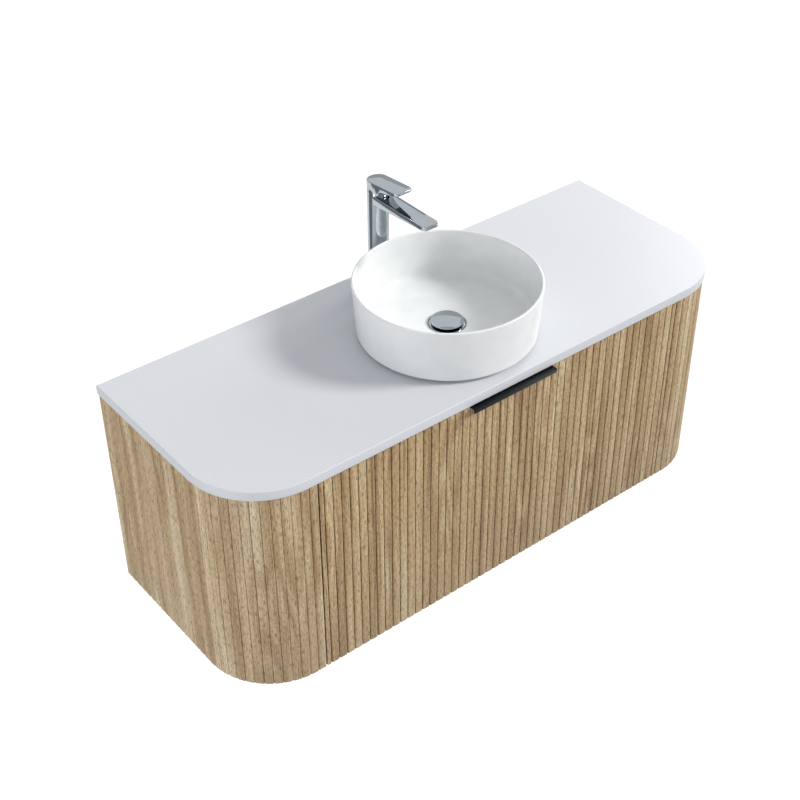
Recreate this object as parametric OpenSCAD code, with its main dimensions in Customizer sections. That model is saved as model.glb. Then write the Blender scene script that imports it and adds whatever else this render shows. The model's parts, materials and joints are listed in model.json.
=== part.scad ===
// Wall-hung vanity with a slatted drawer, a round vessel basin and a tall basin mixer.
// Millimetres. X is the width, the wall is the plane Y = 0, the front faces -Y, Z is up.
// The origin is the middle of the four wall-fixing holes in the two back rails.

/* [Cabinet] */
// Width of the top
width = 1200; // [960:10:1500]
// Depth of the top from the wall
depth = 450; // [440:5:560]
// Height of the cabinet under the top
cab_h = 445; // [400:5:540]
// Plan radius of the front corners of the top
corner_r = 145; // [80:5:180]
// Thickness of the top
top_t = 20; // [12:1:40]
// How far the top stands out past the slats
overhang = 2; // [0:0.5:6]
// Thickness of the carcass boards and slatted panels
board_t = 18; // [15:1:22]
// Distance between the wall-fixing holes across the cabinet
wall_hole_dx = 800; // [600:10:820]
// Radius of the wall-fixing holes
wall_hole_r = 4.5; // [3:0.5:6]

/* [Slats] */
// Width of one slat with its groove
slat_pitch = 18; // [12:0.5:30]
// Depth of the grooves
groove_depth = 3; // [1.5:0.5:5]
// Straight slatted length between the corner curve and the drawer
return_w = 20; // [18:1:60]

/* [Drawer] */
// Gap at each side of the drawer front
side_gap = 2; // [1:0.5:4]
// Gap between the drawer front and the top
top_gap = 2.5; // [2:0.5:5]
// Height of the drawer box
box_h = 250; // [120:5:290]
// Thickness of the drawer box boards
box_t = 15; // [12:1:18]
// Thickness of the drawer box bottom
base_t = 12; // [6:1:16]
// Clear half width of the recess around the trap
recess_hw = 90; // [60:5:120]
// Side space for one drawer runner
runner_gap = 13; // [12.5:0.1:14]

/* [Handle] */
// Length of the edge pull
pull_w = 200; // [120:10:320]
// How far the pull stands out from the slats
pull_out = 12; // [8:1:20]
// Height of the pull's front lip
pull_lip = 9; // [6:1:16]

/* [Basin] */
// Radius of the basin at its rim
basin_r = 178; // [150:1:185]
// Radius of the basin wall near its base
basin_base_r = 171; // [145:0.5:178]
// Height of the basin
basin_h = 113.5; // [90:0.5:140]
// Thickness of the basin wall
basin_t = 5.5; // [4:0.5:10]
// Gap between the basin rim and the front edge of the top
basin_front = 9; // [5:1:60]
// Height of the sealant bed under the basin
bed_t = 1.5; // [1:0.1:3]
// Radius of the waste body
waste_r = 20; // [18:0.5:22]
// Radius of the pop-up plug
plug_r = 31.5; // [28:0.5:33]
// How far the plug stands open
plug_lift = 5; // [3:0.5:8]

/* [Tap] */
// Distance from the wall to the tap's axis
tap_y = 55; // [45:1:70]
// Radius of the tap column
tap_r = 20.5; // [20:0.5:24]
// Height of the column up to the lever joint
tap_h = 217; // [200:1:280]
// Reach of the spout from the column's axis
spout_len = 162; // [120:1:200]
// Width of the spout
spout_w = 37; // [30:1:40]
// Reach of the lever from the column's axis
lever_len = 82; // [60:1:110]
// Radius of the pipes
pipe_r = 16; // [16:0.5:20]

/* [Hidden] */
$fn = 96;
run = 0.08;
drive = 0.05;
hole_dz = cab_h - 125;
z_bot = -hole_dz / 2 - 65;
z_und = hole_dz / 2 + 60;
z_top = z_und + top_t;
rail_h = 94;
cab_hw = width / 2 - overhang;
cab_d = depth - overhang;
cab_r = corner_r - overhang;
straight = max(return_w, board_t + 1);
seam_x = cab_hw - cab_r - straight;
face_back = cab_d - board_t;

front_hw = seam_x - side_gap;
front_top = z_und - top_gap;
half_slats = floor((front_hw - slat_pitch / 2 - 3) / slat_pitch);
first_groove = -(half_slats + 0.5) * slat_pitch;

box_hw = seam_x - runner_gap;
box_back = 60;
box_z0 = z_bot + 30;
box_z1 = box_z0 + box_h;
runner_len = 50 * floor((depth - 85) / 50);
runner_y0 = face_back - 5;
runner_z = box_z0 + 70;
runner_screw_y = [runner_y0 - 25, runner_y0 - runner_len / 2, runner_y0 - runner_len + 25];

basin_y = depth - basin_front - basin_r;
basin_z = z_top + bed_t;
foot_r = basin_base_r - 13;
floor_z = 16.5;
recess_z = 12;
flange_z = recess_z + 1.5;
flange_t = 2.5;
waste_end = z_und - 45;
recess_front = basin_y + 67;

tap_z = z_top + 1;
pivot_h = tap_h - 22;
dome_r = sqrt(tap_r * tap_r + 22 * 22);
spout_top = tap_h - 12;
bore_r = tap_r - 2.9;

slat_profile = [
  [0, 1], [0.05, 0.72], [0.1, 0.4], [0.18, 0.16], [0.32, 0.04], [0.5, 0],
  [0.68, 0.04], [0.82, 0.16], [0.9, 0.4], [0.95, 0.72]
];

// ---------- shared shapes ----------

// Plan of the cabinet: square at the wall, round at the front corners
module plan(hw, d, r) {
  translate([-hw, -(d - r)]) square([2 * hw, d - r]);
  translate([-(hw - r), -d]) square([2 * (hw - r), d]);
  for (sx = [-1, 1]) translate([sx * (hw - r), -(d - r)]) circle(r);
}

module slab(x0, x1, y0, y1, z0, z1) {
  translate([x0, y0, z0]) cube([x1 - x0, y1 - y0, z1 - z0]);
}

module disc(r, z0, z1) {
  translate([0, 0, z0]) cylinder(r = r, h = z1 - z0);
}

module ring(ro, ri, z0, z1) {
  translate([0, 0, z0]) linear_extrude(z1 - z0) difference() {
    circle(ro);
    circle(ri);
  }
}

module hexagon(across) {
  circle(r = across / 2 / cos(30), $fn = 6);
}

// Pan-head screw: head from z = 0 up, shaft below
module screw(len, r = 1.75) {
  cylinder(r = 2 * r, h = 1.6);
  translate([0, 0, -len]) cylinder(r = r, h = len);
}

module screw_hole(len, r = 1.75) {
  translate([0, 0, -len]) cylinder(r = r + drive, h = len + 3);
}

// Point and outward direction on the right-hand panel, a length s from the drawer seam
bend_len = cab_r * PI / 2;
panel_len = straight + bend_len + cab_d - cab_r;
panel_slats = round(panel_len / slat_pitch);
function turn(s) = max(0, min(90, (s - straight) / cab_r * 180 / PI));
function along(s) = [
  seam_x + min(s, straight) + cab_r * sin(turn(s)),
  -cab_d + cab_r * (1 - cos(turn(s))) + max(0, s - straight - bend_len)
];
function outward(s) = [sin(turn(s)), -cos(turn(s))];
function slat_points(n, pitch) = [
  for (i = [0 : n - 1]) for (q = slat_profile)
    let (s = (i + q[0]) * pitch) along(s) - outward(s) * groove_depth * q[1]
];

module side_panel() {
  outline = concat(
    slat_points(panel_slats, panel_len / panel_slats),
    [[cab_hw - groove_depth, 0], [cab_hw - board_t, 0], [cab_hw - board_t, cab_r - cab_d],
      [cab_hw - cab_r, -face_back], [seam_x, -face_back]]
  );
  translate([0, 0, z_bot]) linear_extrude(cab_h) difference() {
    polygon(outline);
    translate([cab_hw - cab_r, cab_r - cab_d]) circle(cab_r - board_t);
  }
}

module gable() {
  difference() {
    slab(seam_x, seam_x + board_t, -face_back, -board_t, z_bot + board_t, z_und);
    for (y = runner_screw_y) translate([seam_x, -y, runner_z]) rotate([0, -90, 0]) screw_hole(14);
  }
}

// Runner member: a channel lying against a face at x = u0, opening towards +u when dir = 1
module channel(u0, u1, half_h, dir) {
  web = dir > 0 ? u0 : u1 - 1.2;
  translate([web, -half_h]) square([1.2, 2 * half_h]);
  for (sz = [-1, 1]) translate([u0, sz > 0 ? half_h - 1.2 : -half_h]) square([u1 - u0, 1.2]);
}

module runner(u0, u1, half_h, dir) {
  translate([seam_x, -runner_y0 + runner_len, runner_z]) rotate([90, 0, 0])
    linear_extrude(runner_len) scale([-1, 1]) channel(u0, u1, half_h, dir);
}

module runner_cabinet() {
  difference() {
    runner(0, 9, 22.5, 1);
    for (y = runner_screw_y) translate([seam_x, -y, runner_z]) rotate([0, -90, 0]) screw_hole(14);
  }
}

module runner_middle() {
  runner(3.6, 11, 21, 1);
}

module runner_drawer() {
  difference() {
    runner(6, runner_gap, 19.5, -1);
    for (y = runner_screw_y) translate([box_hw, -y, runner_z]) rotate([0, 90, 0]) screw_hole(12);
  }
}

module drawer_side() {
  difference() {
    slab(box_hw - box_t, box_hw, -face_back, -box_back, box_z0 + base_t, box_z1);
    for (y = runner_screw_y) translate([box_hw, -y, runner_z]) rotate([0, 90, 0]) screw_hole(12);
  }
}

module at_front_screws() {
  for (sx = [-1, 1]) for (x = [130, front_hw - 80]) for (z = [box_z0 + 50, box_z1 - 50])
    translate([sx * x, -face_back + box_t, z]) rotate([-90, 0, 0]) children();
}

module at_pull_screws() {
  for (x = [-0.4, 0, 0.4] * pull_w)
    translate([x, -face_back + 2, front_top - 16]) rotate([-90, 0, 0]) children();
}

module at_basin() {
  translate([0, -basin_y, basin_z]) children();
}

module at_trap() {
  translate([0, -basin_y, waste_end]) children();
}

module at_tap() {
  translate([0, -tap_y, tap_z]) children();
}

module at_tap_pivot() {
  translate([0, -tap_y, tap_z + pivot_h]) children();
}

// ---------- cabinet ----------

module vanity_top() {
  color("white") translate([0, 0, z_und]) linear_extrude(top_t) difference() {
    plan(width / 2, depth, corner_r);
    translate([0, -basin_y]) circle(waste_r + 4);
    translate([0, -tap_y]) circle(17.5);
  }
}

module side_shell_right() {
  color("burlywood") side_panel();
}

module side_shell_left() {
  color("burlywood") mirror([1, 0, 0]) side_panel();
}

module cabinet_bottom() {
  color("tan") translate([0, 0, z_bot]) linear_extrude(board_t)
    plan(cab_hw - board_t, face_back, cab_r - board_t);
}

module gable_right() {
  color("tan") gable();
}

module gable_left() {
  color("tan") mirror([1, 0, 0]) gable();
}

module back_rail(z0, hole_z) {
  difference() {
    slab(-cab_hw + board_t, cab_hw - board_t, -board_t, 0, z0, z0 + rail_h);
    for (sx = [-1, 1]) translate([sx * wall_hole_dx / 2, 0, hole_z])
      rotate([90, 0, 0]) translate([0, 0, -1]) cylinder(r = wall_hole_r, h = board_t + 2);
  }
}

module back_rail_upper() {
  color("tan") back_rail(z_und - rail_h, hole_dz / 2);
}

module back_rail_lower() {
  color("tan") back_rail(z_bot + board_t, -hole_dz / 2);
}

module front_stretcher() {
  color("tan") slab(-seam_x, seam_x, -face_back + 8, -face_back + 88, z_und - board_t, z_und);
}

// ---------- drawer ----------

module drawer_front() {
  n = 2 * half_slats + 1;
  left = [for (q = slat_profile) if (q[0] > 0.6) [first_groove - (1 - q[0]) * slat_pitch, q[1]]];
  mid = [
    for (i = [0 : n - 1]) for (q = slat_profile)
      [first_groove + (i + q[0]) * slat_pitch, q[1]]
  ];
  right = [for (i = [len(left) - 1 : -1 : 0]) [-left[i][0], left[i][1]]];
  face = concat([[-front_hw + 1, 0]], left, mid, [[-first_groove, 1]], right, [[front_hw - 1, 0]]);
  outline = concat(
    [[-front_hw, -face_back], [-front_hw, -cab_d + 1]],
    [for (p = face) [p[0], -cab_d + groove_depth * p[1]]],
    [[front_hw, -cab_d + 1], [front_hw, -face_back]]
  );
  color("burlywood") difference() {
    translate([0, 0, z_bot]) linear_extrude(front_top - z_bot) polygon(outline);
    slab(-pull_w / 2 - drive, pull_w / 2 + drive, -depth, 0, front_top - 2, front_top + 1);
    at_front_screws() screw_hole(box_t + 10);
    at_pull_screws() screw_hole(12);
  }
}

module drawer_inner_front() {
  color("tan") difference() {
    slab(
      -box_hw + box_t, box_hw - box_t, -face_back, -face_back + box_t, box_z0 + base_t, box_z1
    );
    at_front_screws() screw_hole(box_t + 10);
  }
}

module drawer_side_right() {
  color("tan") drawer_side();
}

module drawer_side_left() {
  color("tan") mirror([1, 0, 0]) drawer_side();
}

module drawer_back_boards() {
  x0 = recess_hw + box_t;
  x1 = box_hw - box_t;
  color("tan") for (m = [0, 1]) mirror([m, 0, 0])
    slab(x0, x1, -box_back - box_t, -box_back, box_z0 + base_t, box_z1);
}

module drawer_recess_boards() {
  color("tan") {
    for (m = [0, 1]) mirror([m, 0, 0]) slab(
      recess_hw, recess_hw + box_t, -recess_front - box_t, -box_back, box_z0 + base_t, box_z1
    );
    slab(
      -recess_hw + drive, recess_hw - drive, -recess_front - box_t, -recess_front,
      box_z0 + base_t, box_z1
    );
  }
}

module drawer_bottom() {
  color("tan") difference() {
    slab(-box_hw, box_hw, -face_back, -box_back, box_z0, box_z0 + base_t);
    slab(-recess_hw, recess_hw, -recess_front, 0, box_z0 - 1, box_z0 + base_t + 1);
  }
}

module drawer_front_screws() {
  color("silver") at_front_screws() screw(box_t + 10);
}

module edge_pull() {
  y_in = -face_back + 2;
  y_out = -cab_d - pull_out;
  profile = [
    [y_in, front_top], [y_out + 0.8, front_top], [y_out, front_top - 0.8],
    [y_out, front_top - pull_lip], [y_out + 2.5, front_top - pull_lip],
    [y_out + 2.5, front_top - 2], [y_in - 2, front_top - 2], [y_in - 2, front_top - 26],
    [y_in, front_top - 26]
  ];
  color("black") difference() {
    translate([-pull_w / 2, 0, 0]) rotate([90, 0, 90]) linear_extrude(pull_w) polygon(profile);
    at_pull_screws() screw_hole(12);
  }
}

module edge_pull_screws() {
  color("black") at_pull_screws() screw(12);
}

// ---------- runners ----------

module runner_cabinet_right() {
  color("silver") runner_cabinet();
}

module runner_cabinet_left() {
  color("silver") mirror([1, 0, 0]) runner_cabinet();
}

module runner_middle_right() {
  color("silver") runner_middle();
}

module runner_middle_left() {
  color("silver") mirror([1, 0, 0]) runner_middle();
}

module runner_drawer_right() {
  color("silver") runner_drawer();
}

module runner_drawer_left() {
  color("silver") mirror([1, 0, 0]) runner_drawer();
}

module runner_cabinet_screws() {
  color("silver") for (m = [0, 1]) mirror([m, 0, 0]) for (y = runner_screw_y)
    translate([seam_x - 1.2, -y, runner_z]) rotate([0, -90, 0]) screw(14);
}

module runner_drawer_screws() {
  color("silver") for (m = [0, 1]) mirror([m, 0, 0]) for (y = runner_screw_y)
    translate([box_hw + 1.2, -y, runner_z]) rotate([0, 90, 0]) screw(12);
}

// ---------- basin and waste ----------

module basin() {
  fillet = 12;
  cove = 20;
  cove_z = floor_z + 2.5;
  lip_r = basin_r - basin_t / 2;
  slope = (basin_r - basin_base_r) / (basin_h - 3 - fillet);
  wall_r = basin_base_r - basin_t - 1.5 + slope * cove;
  foot = [[foot_r - 14, 0], [foot_r, 0], [foot_r, 3]];
  base = [
    for (a = [-90 : 10 : 0])
      [basin_base_r - fillet + fillet * cos(a), 3 + fillet + fillet * sin(a)]
  ];
  lip = [
    for (a = [0 : 15 : 180])
      [lip_r + basin_t / 2 * cos(a), basin_h - basin_t / 2 * (1 - sin(a))]
  ];
  sweep = [
    for (a = [0 : -10 : -90])
      [wall_r - cove + cove * cos(a), cove_z + cove + cove * sin(a)]
  ];
  drain = [
    [37, floor_z], [36, floor_z - 1], [36, recess_z], [waste_r + 3, recess_z], [waste_r + 3, 5],
    [foot_r - 18, 5]
  ];
  outline = concat(foot, base, lip, sweep, drain);
  color("white") at_basin() rotate_extrude($fn = 180) polygon(outline);
}

module basin_sealant_bed() {
  color("gainsboro") translate([0, -basin_y, z_top]) ring(foot_r - 1, foot_r - 13, 0, bed_t);
}

module waste_body() {
  end = waste_end - basin_z;
  color("silver") at_basin() difference() {
    union() {
      ring(35, pipe_r, flange_z, flange_z + flange_t);
      ring(waste_r, pipe_r, end, flange_z + 0.01);
      ring(6, 4 + run, -30, -12);
      intersection() {
        disc(pipe_r + 1, -30, -20);
        for (a = [0, 120, 240]) rotate(a) slab(5, pipe_r + 1, -1, 1, -30, -20);
      }
    }
    translate([0, 0, flange_z + flange_t - 1.5]) cylinder(r1 = pipe_r, r2 = pipe_r + 2, h = 1.6);
  }
}

module waste_upper_seal() {
  color("dimgray") at_basin() ring(34, waste_r + drive, recess_z, flange_z);
}

module waste_lower_seal() {
  color("dimgray") translate([0, -basin_y, z_und - 3]) ring(32, waste_r + drive, 0, 3);
}

module waste_back_nut() {
  color("silver") translate([0, -basin_y, z_und - 12]) linear_extrude(9) difference() {
    hexagon(56);
    circle(waste_r + drive);
  }
}

plug_z = flange_z + flange_t + plug_lift;

module waste_plug() {
  dome = [for (k = [0 : 10]) let (q = k / 10) [plug_r * (1 - q), 2 + 2.5 * (1 - pow(1 - q, 2))]];
  color("silver") at_basin() translate([0, 0, plug_z]) rotate_extrude($fn = 96) polygon(concat(
    [[0, -45], [4, -45], [4, -14], [13, -12], [13, -6], [11, -6], [11, -3.5], [13, -3.5], [13, 0],
      [plug_r - 1, 0], [plug_r, 0.8]],
    dome
  ));
}

module waste_plug_seal() {
  color("dimgray") at_basin() ring(14.5, 11 + drive, plug_z - 5.9, plug_z - 3.6);
}

// ---------- bottle trap ----------

module trap_inlet_nut() {
  color("silver") at_trap() {
    ring(waste_r + 4, waste_r + drive, -4, 14);
    ring(waste_r + 4, pipe_r + drive, -9, -4);
  }
}

module trap_dip_tube() {
  color("silver") at_trap() {
    ring(pipe_r, pipe_r - 1.5, -170, 0);
    ring(waste_r - 0.5, pipe_r - 0.01, -3.9, -0.1);
  }
}

module trap_head() {
  color("silver") at_trap() difference() {
    union() {
      disc(30, -120, -70);
      translate([0, 0, -95]) rotate([-90, 0, 0]) cylinder(r = pipe_r + 4, h = 58);
    }
    disc(26, -121, -78);
    disc(pipe_r + drive, -100, -60);
    translate([0, 0, -95]) rotate([-90, 0, 0]) cylinder(r = pipe_r - 2, h = 60);
    translate([0, 30, -95]) rotate([-90, 0, 0]) cylinder(r = pipe_r + drive, h = 30);
  }
}

module trap_cup() {
  color("silver") at_trap() difference() {
    union() {
      disc(30, -185, -120);
      disc(26 - drive, -121, -104);
    }
    disc(23.5, -181, -100);
  }
}

module trap_outlet_nut() {
  color("silver") at_trap() translate([0, 46, -95]) rotate([-90, 0, 0]) {
    ring(25, pipe_r + 4 + drive, 0, 12);
    ring(25, pipe_r + drive, 12, 20);
  }
}

// The pipe runs on into the wall; a turned groove marks where the free end starts
module trap_outlet_pipe() {
  color("silver") at_trap() translate([0, 0, -95]) rotate([-90, 0, 0]) difference() {
    ring(pipe_r, pipe_r - 1.5, 32, basin_y + 40);
    ring(pipe_r + 1, pipe_r - 0.5, basin_y, basin_y + 2);
  }
}

module trap_wall_plate() {
  color("silver") translate([0, 0, waste_end - 95]) rotate([90, 0, 0]) rotate_extrude() polygon([
    [pipe_r + drive, 0], [36, 0], [35, 2], [22, 8], [pipe_r + drive, 10]
  ]);
}

// ---------- tap ----------

module spout() {
  side = [
    [0, 0], [0, spout_top - 19], [-(spout_len - 2), spout_top - 8], [-spout_len, spout_top - 6],
    [-(spout_len - 2), spout_top], [0, spout_top]
  ];
  intersection() {
    translate([-spout_w, 0, 0]) rotate([90, 0, 90]) linear_extrude(2 * spout_w) polygon(side);
    translate([0, 0, spout_top - 20]) linear_extrude(30) union() {
      translate([-spout_w / 2, -(spout_len - 10)]) square([spout_w, spout_len - 10]);
      translate([-(spout_w / 2 - 10), -spout_len]) square([spout_w - 20, 20]);
      for (sx = [-1, 1]) translate([sx * (spout_w / 2 - 10), -(spout_len - 10)]) circle(10);
    }
  }
}

module tap_body() {
  duct_z = spout_top - 9;
  color("silver") at_tap() difference() {
    union() {
      disc(tap_r + 3, 0, 3);
      disc(tap_r, 0, tap_h - 5);
      spout();
    }
    disc(bore_r - 1.6, 14, tap_h - 57);
    disc(bore_r, tap_h - 57.01, tap_h);
    slab(-9, 9, -(spout_len - 12), 0, duct_z, duct_z + 5);
    translate([0, -(spout_len - 12), duct_z - 8]) cylinder(r = 9.5, h = 12.5);
    for (sx = [-1, 1]) translate([sx * (spout_w / 2 - 4), 0, 0])
      slab(-1.25, 1.25, -spout_len * 0.76, -tap_r + 3, spout_top - 2.4, spout_top + 3);
    for (sx = [-1, 1]) translate([sx * 8, -6, -1]) cylinder(r = 5, h = 16);
    translate([0, 13, -1]) cylinder(r = 4 + drive, h = 11);
  }
}

module tap_base_gasket() {
  color("dimgray") translate([0, -tap_y, z_top]) ring(tap_r + 2, 17.6, 0, 1);
}

module tap_cap() {
  r0 = 14.5;
  arc = [
    for (k = [0 : 8]) let (r = tap_r + (r0 - tap_r) * k / 8)
      [r, pivot_h + sqrt(dome_r * dome_r - r * r)]
  ];
  color("silver") at_tap() rotate_extrude() polygon(concat(
    [[bore_r + 0.1, tap_h - 5], [tap_r, tap_h - 5]], arc, [[r0, tap_h], [bore_r + 0.1, tap_h - 3]]
  ));
}

module tap_cartridge() {
  color("gray") at_tap() difference() {
    union() {
      disc(bore_r - drive, tap_h - 57, tap_h - 53);
      disc(bore_r - 2, tap_h - 57, tap_h - 15);
    }
    disc(12 + run, pivot_h - 12, tap_h);
  }
}

module tap_cartridge_nut() {
  color("gold") at_tap() ring(bore_r - drive, 13, tap_h - 15, tap_h - 9);
}

module tap_rotor() {
  color("lightgray") at_tap_pivot() difference() {
    disc(12, -11.5, 9);
    slab(-3.65, 3.65, -9.5, 9.5, -9, 10);
    rotate([0, 90, 0]) cylinder(r = 2 + drive, h = 30, center = true);
  }
}

module tap_pivot_pin() {
  color("silver") at_tap_pivot() rotate([0, 90, 0]) cylinder(r = 2, h = 23, center = true);
}

module tap_spindle() {
  color("silver") at_tap_pivot() difference() {
    slab(-3.5, 3.5, -3.5, 3.5, -7, dome_r + 4.5);
    rotate([0, 90, 0]) cylinder(r = 2 + run, h = 30, center = true);
  }
}

module tap_lever() {
  top0 = 38;
  rise = 0.087;
  tip = lever_len;
  side = [
    [tap_r + 2, 18], [tap_r + 2, top0 - rise * (tap_r + 2)], [-tip + 1, top0 + rise * tip],
    [-tip, top0 - 1.5 + rise * tip], [-tip + 2, top0 - 5.5 + rise * tip],
    [-36, top0 - 8], [-22, 21], [-18, 18]
  ];
  color("silver") at_tap_pivot() difference() {
    intersection() {
      translate([-30, 0, 0]) rotate([90, 0, 90]) linear_extrude(60) polygon(side);
      linear_extrude(60) union() {
        circle(tap_r);
        translate([-tap_r, -(tip - 9)]) square([2 * tap_r, tip - 9]);
        translate([-(tap_r - 9), -tip]) square([2 * tap_r - 18, 18]);
        for (sx = [-1, 1]) translate([sx * (tap_r - 9), -(tip - 9)]) circle(9);
      }
    }
    sphere(r = dome_r + 0.4, $fn = 120);
    slab(-3.55, 3.55, -3.55, 3.55, 0, dome_r + 4.6);
    translate([0, 0, dome_r + 2.6]) rotate([-90, 0, 0]) cylinder(r = 2, h = 30);
  }
}

module tap_lever_screw() {
  color("gray") at_tap_pivot() translate([0, 3.55, dome_r + 2.6]) rotate([-90, 0, 0])
    cylinder(r = 1.95, h = 10);
}

module tap_aerator() {
  color("gray") at_tap() translate([0, -(spout_len - 12), spout_top - 8.5]) difference() {
    cylinder(r = 9.4, h = 3.5);
    for (x = [-4 : 4 : 4]) for (y = [-4 : 4 : 4]) translate([x, y, -1])
      cylinder(r = 1.2, h = 6, $fn = 24);
  }
}

module tap_stud() {
  color("silver") at_tap() translate([0, 13, -top_t - 41]) cylinder(r = 4, h = top_t + 51);
}

module tap_clamp_washer() {
  color("gold") translate([0, -tap_y, z_und - 4]) linear_extrude(4) difference() {
    circle(25);
    translate([0, -6]) circle(14);
    translate([-14, -30]) square([28, 24]);
    translate([0, 13]) circle(4 + drive);
  }
}

module tap_stud_nut() {
  color("silver") translate([0, -tap_y + 13, z_und - 13]) linear_extrude(9) difference() {
    hexagon(13);
    circle(4 + drive);
  }
}

// ---------- which node is drawn ----------

vanity_top();
side_shell_left();
side_shell_right();
cabinet_bottom();
gable_left();
gable_right();
back_rail_upper();
back_rail_lower();
front_stretcher();
drawer_front();
drawer_inner_front();
drawer_side_left();
drawer_side_right();
drawer_back_boards();
drawer_recess_boards();
drawer_bottom();
drawer_front_screws();
edge_pull();
edge_pull_screws();
runner_cabinet_left();
runner_cabinet_right();
runner_middle_left();
runner_middle_right();
runner_drawer_left();
runner_drawer_right();
runner_cabinet_screws();
runner_drawer_screws();
basin();
basin_sealant_bed();
waste_body();
waste_upper_seal();
waste_lower_seal();
waste_back_nut();
waste_plug();
waste_plug_seal();
trap_inlet_nut();
trap_dip_tube();
trap_head();
trap_cup();
trap_outlet_nut();
trap_outlet_pipe();
trap_wall_plate();
tap_body();
tap_base_gasket();
tap_cap();
tap_cartridge();
tap_cartridge_nut();
tap_rotor();
tap_pivot_pin();
tap_spindle();
tap_lever();
tap_lever_screw();
tap_aerator();
tap_stud();
tap_clamp_washer();
tap_stud_nut();
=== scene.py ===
import json
import math
import bpy
import bmesh
from mathutils import Matrix, Vector


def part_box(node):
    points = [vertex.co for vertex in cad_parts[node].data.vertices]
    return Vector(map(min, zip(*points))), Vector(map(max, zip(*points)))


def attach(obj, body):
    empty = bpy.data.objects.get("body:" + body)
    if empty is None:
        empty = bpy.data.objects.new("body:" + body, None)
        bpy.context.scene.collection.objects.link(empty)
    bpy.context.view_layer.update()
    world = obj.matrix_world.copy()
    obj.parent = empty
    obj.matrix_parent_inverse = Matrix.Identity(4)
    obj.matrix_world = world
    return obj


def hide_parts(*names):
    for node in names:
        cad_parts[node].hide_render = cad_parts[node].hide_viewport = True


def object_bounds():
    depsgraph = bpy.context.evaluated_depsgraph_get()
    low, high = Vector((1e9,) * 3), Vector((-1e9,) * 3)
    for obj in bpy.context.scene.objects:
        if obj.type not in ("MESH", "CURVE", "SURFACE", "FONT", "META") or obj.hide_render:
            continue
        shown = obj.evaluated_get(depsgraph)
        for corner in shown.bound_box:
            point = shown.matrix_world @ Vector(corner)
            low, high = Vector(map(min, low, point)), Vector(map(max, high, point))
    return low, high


# Wall-hung vanity with a slatted drawer, a round vessel basin and a tall basin mixer.
# Metres; X is the width, the wall is the plane Y = 0, the front faces -Y, Z is up.

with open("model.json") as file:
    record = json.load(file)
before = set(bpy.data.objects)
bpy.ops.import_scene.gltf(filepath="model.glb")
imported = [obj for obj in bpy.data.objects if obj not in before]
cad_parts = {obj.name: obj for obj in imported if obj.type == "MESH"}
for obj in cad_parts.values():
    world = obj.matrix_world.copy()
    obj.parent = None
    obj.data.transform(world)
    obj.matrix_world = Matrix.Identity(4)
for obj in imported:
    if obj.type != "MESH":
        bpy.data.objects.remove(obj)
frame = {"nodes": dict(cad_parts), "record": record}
cad_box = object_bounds()

MM = 0.001

# ---------- driving sizes ----------

# Cabinet and top
corner_r = 145 * MM
overhang = 2 * MM
board = 18 * MM
straight_return = 20 * MM
wall_hole_r = 4.5 * MM
wall_hole_x = 400 * MM
wall_hole_z = 160 * MM
# Slats, the grooves between them, and the rounding of their long edges as width and depth
slat_pitch = 18 * MM
groove_depth = 3 * MM
groove_half = 0.45 * MM
panel_groove_half = 0.25 * MM
slat_root = groove_depth + 0.6 * MM
slat_round = (3.4 * MM, 2.3 * MM)
# Edge pull, bent from sheet
pull_lip = 9 * MM
pull_sheet = 2 * MM
pull_gap = 0.1 * MM
# Basin, waste and trap
basin_wall = 5.5 * MM
basin_base_r = 171 * MM
waste_bore = 16 * MM
waste_r = 20 * MM
thread_depth = 0.7 * MM
pipe_r = 16 * MM
slip = 0.05 * MM
# Tap
tap_y = -55 * MM
stud_y = tap_y + 13 * MM
tap_foot_r = 23.5 * MM
column_r = 20.5 * MM
column_bore = 17.6 * MM

top_low, top_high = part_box("vanity_top")
side_low, side_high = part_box("side_shell_right")
front_low, front_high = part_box("drawer_front")
basin_low, basin_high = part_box("basin")
waste_low, waste_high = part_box("waste_body")
pull_low, pull_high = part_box("edge_pull")

cab_hw = side_high.x
cab_depth = -side_low.y
cab_r = corner_r - overhang
basin_y = (basin_low.y + basin_high.y) / 2
basin_foot = Vector((0, basin_y, basin_low.z))

# ---------- shared mesh work ----------


def arc(cx, cy, r, a0, a1, steps):
    turn = [math.radians(a0 + (a1 - a0) * k / steps) for k in range(steps + 1)]
    return [(cx + r * math.cos(a), cy + r * math.sin(a)) for a in turn]


def rounded(corners, steps=5):
    """A closed outline from corners (x, y, radius), each turned with its own radius."""
    out = []
    for i, (x, y, r) in enumerate(corners):
        if r == 0:
            out.append((x, y))
            continue
        corner = Vector((x, y))
        back = (Vector(corners[i - 1][:2]) - corner).normalized()
        ahead = (Vector(corners[(i + 1) % len(corners)][:2]) - corner).normalized()
        half = back.angle(ahead) / 2
        centre = corner + (back + ahead).normalized() * (r / math.sin(half))
        start = corner + back * (r / math.tan(half)) - centre
        end = corner + ahead * (r / math.tan(half)) - centre
        turn = math.atan2(start.x * end.y - start.y * end.x, start.dot(end))
        for k in range(steps + 1):
            c = math.cos(turn * k / steps)
            s = math.sin(turn * k / steps)
            out.append((centre.x + start.x * c - start.y * s, centre.y + start.x * s + start.y * c))
    return out


def moved_in(loop, d):
    """The loop moved by d to the left of its own direction."""
    out = []
    for i, (x, y) in enumerate(loop):
        before = Vector((x - loop[i - 1][0], y - loop[i - 1][1])).normalized()
        nxt = loop[(i + 1) % len(loop)]
        after = Vector((nxt[0] - x, nxt[1] - y)).normalized()
        left = Vector((-before.y - after.y, before.x + after.x))
        scale = d / max(1 + before.dot(after), 0.3)
        out.append((x + left.x * scale, y + left.y * scale))
    return out


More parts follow.
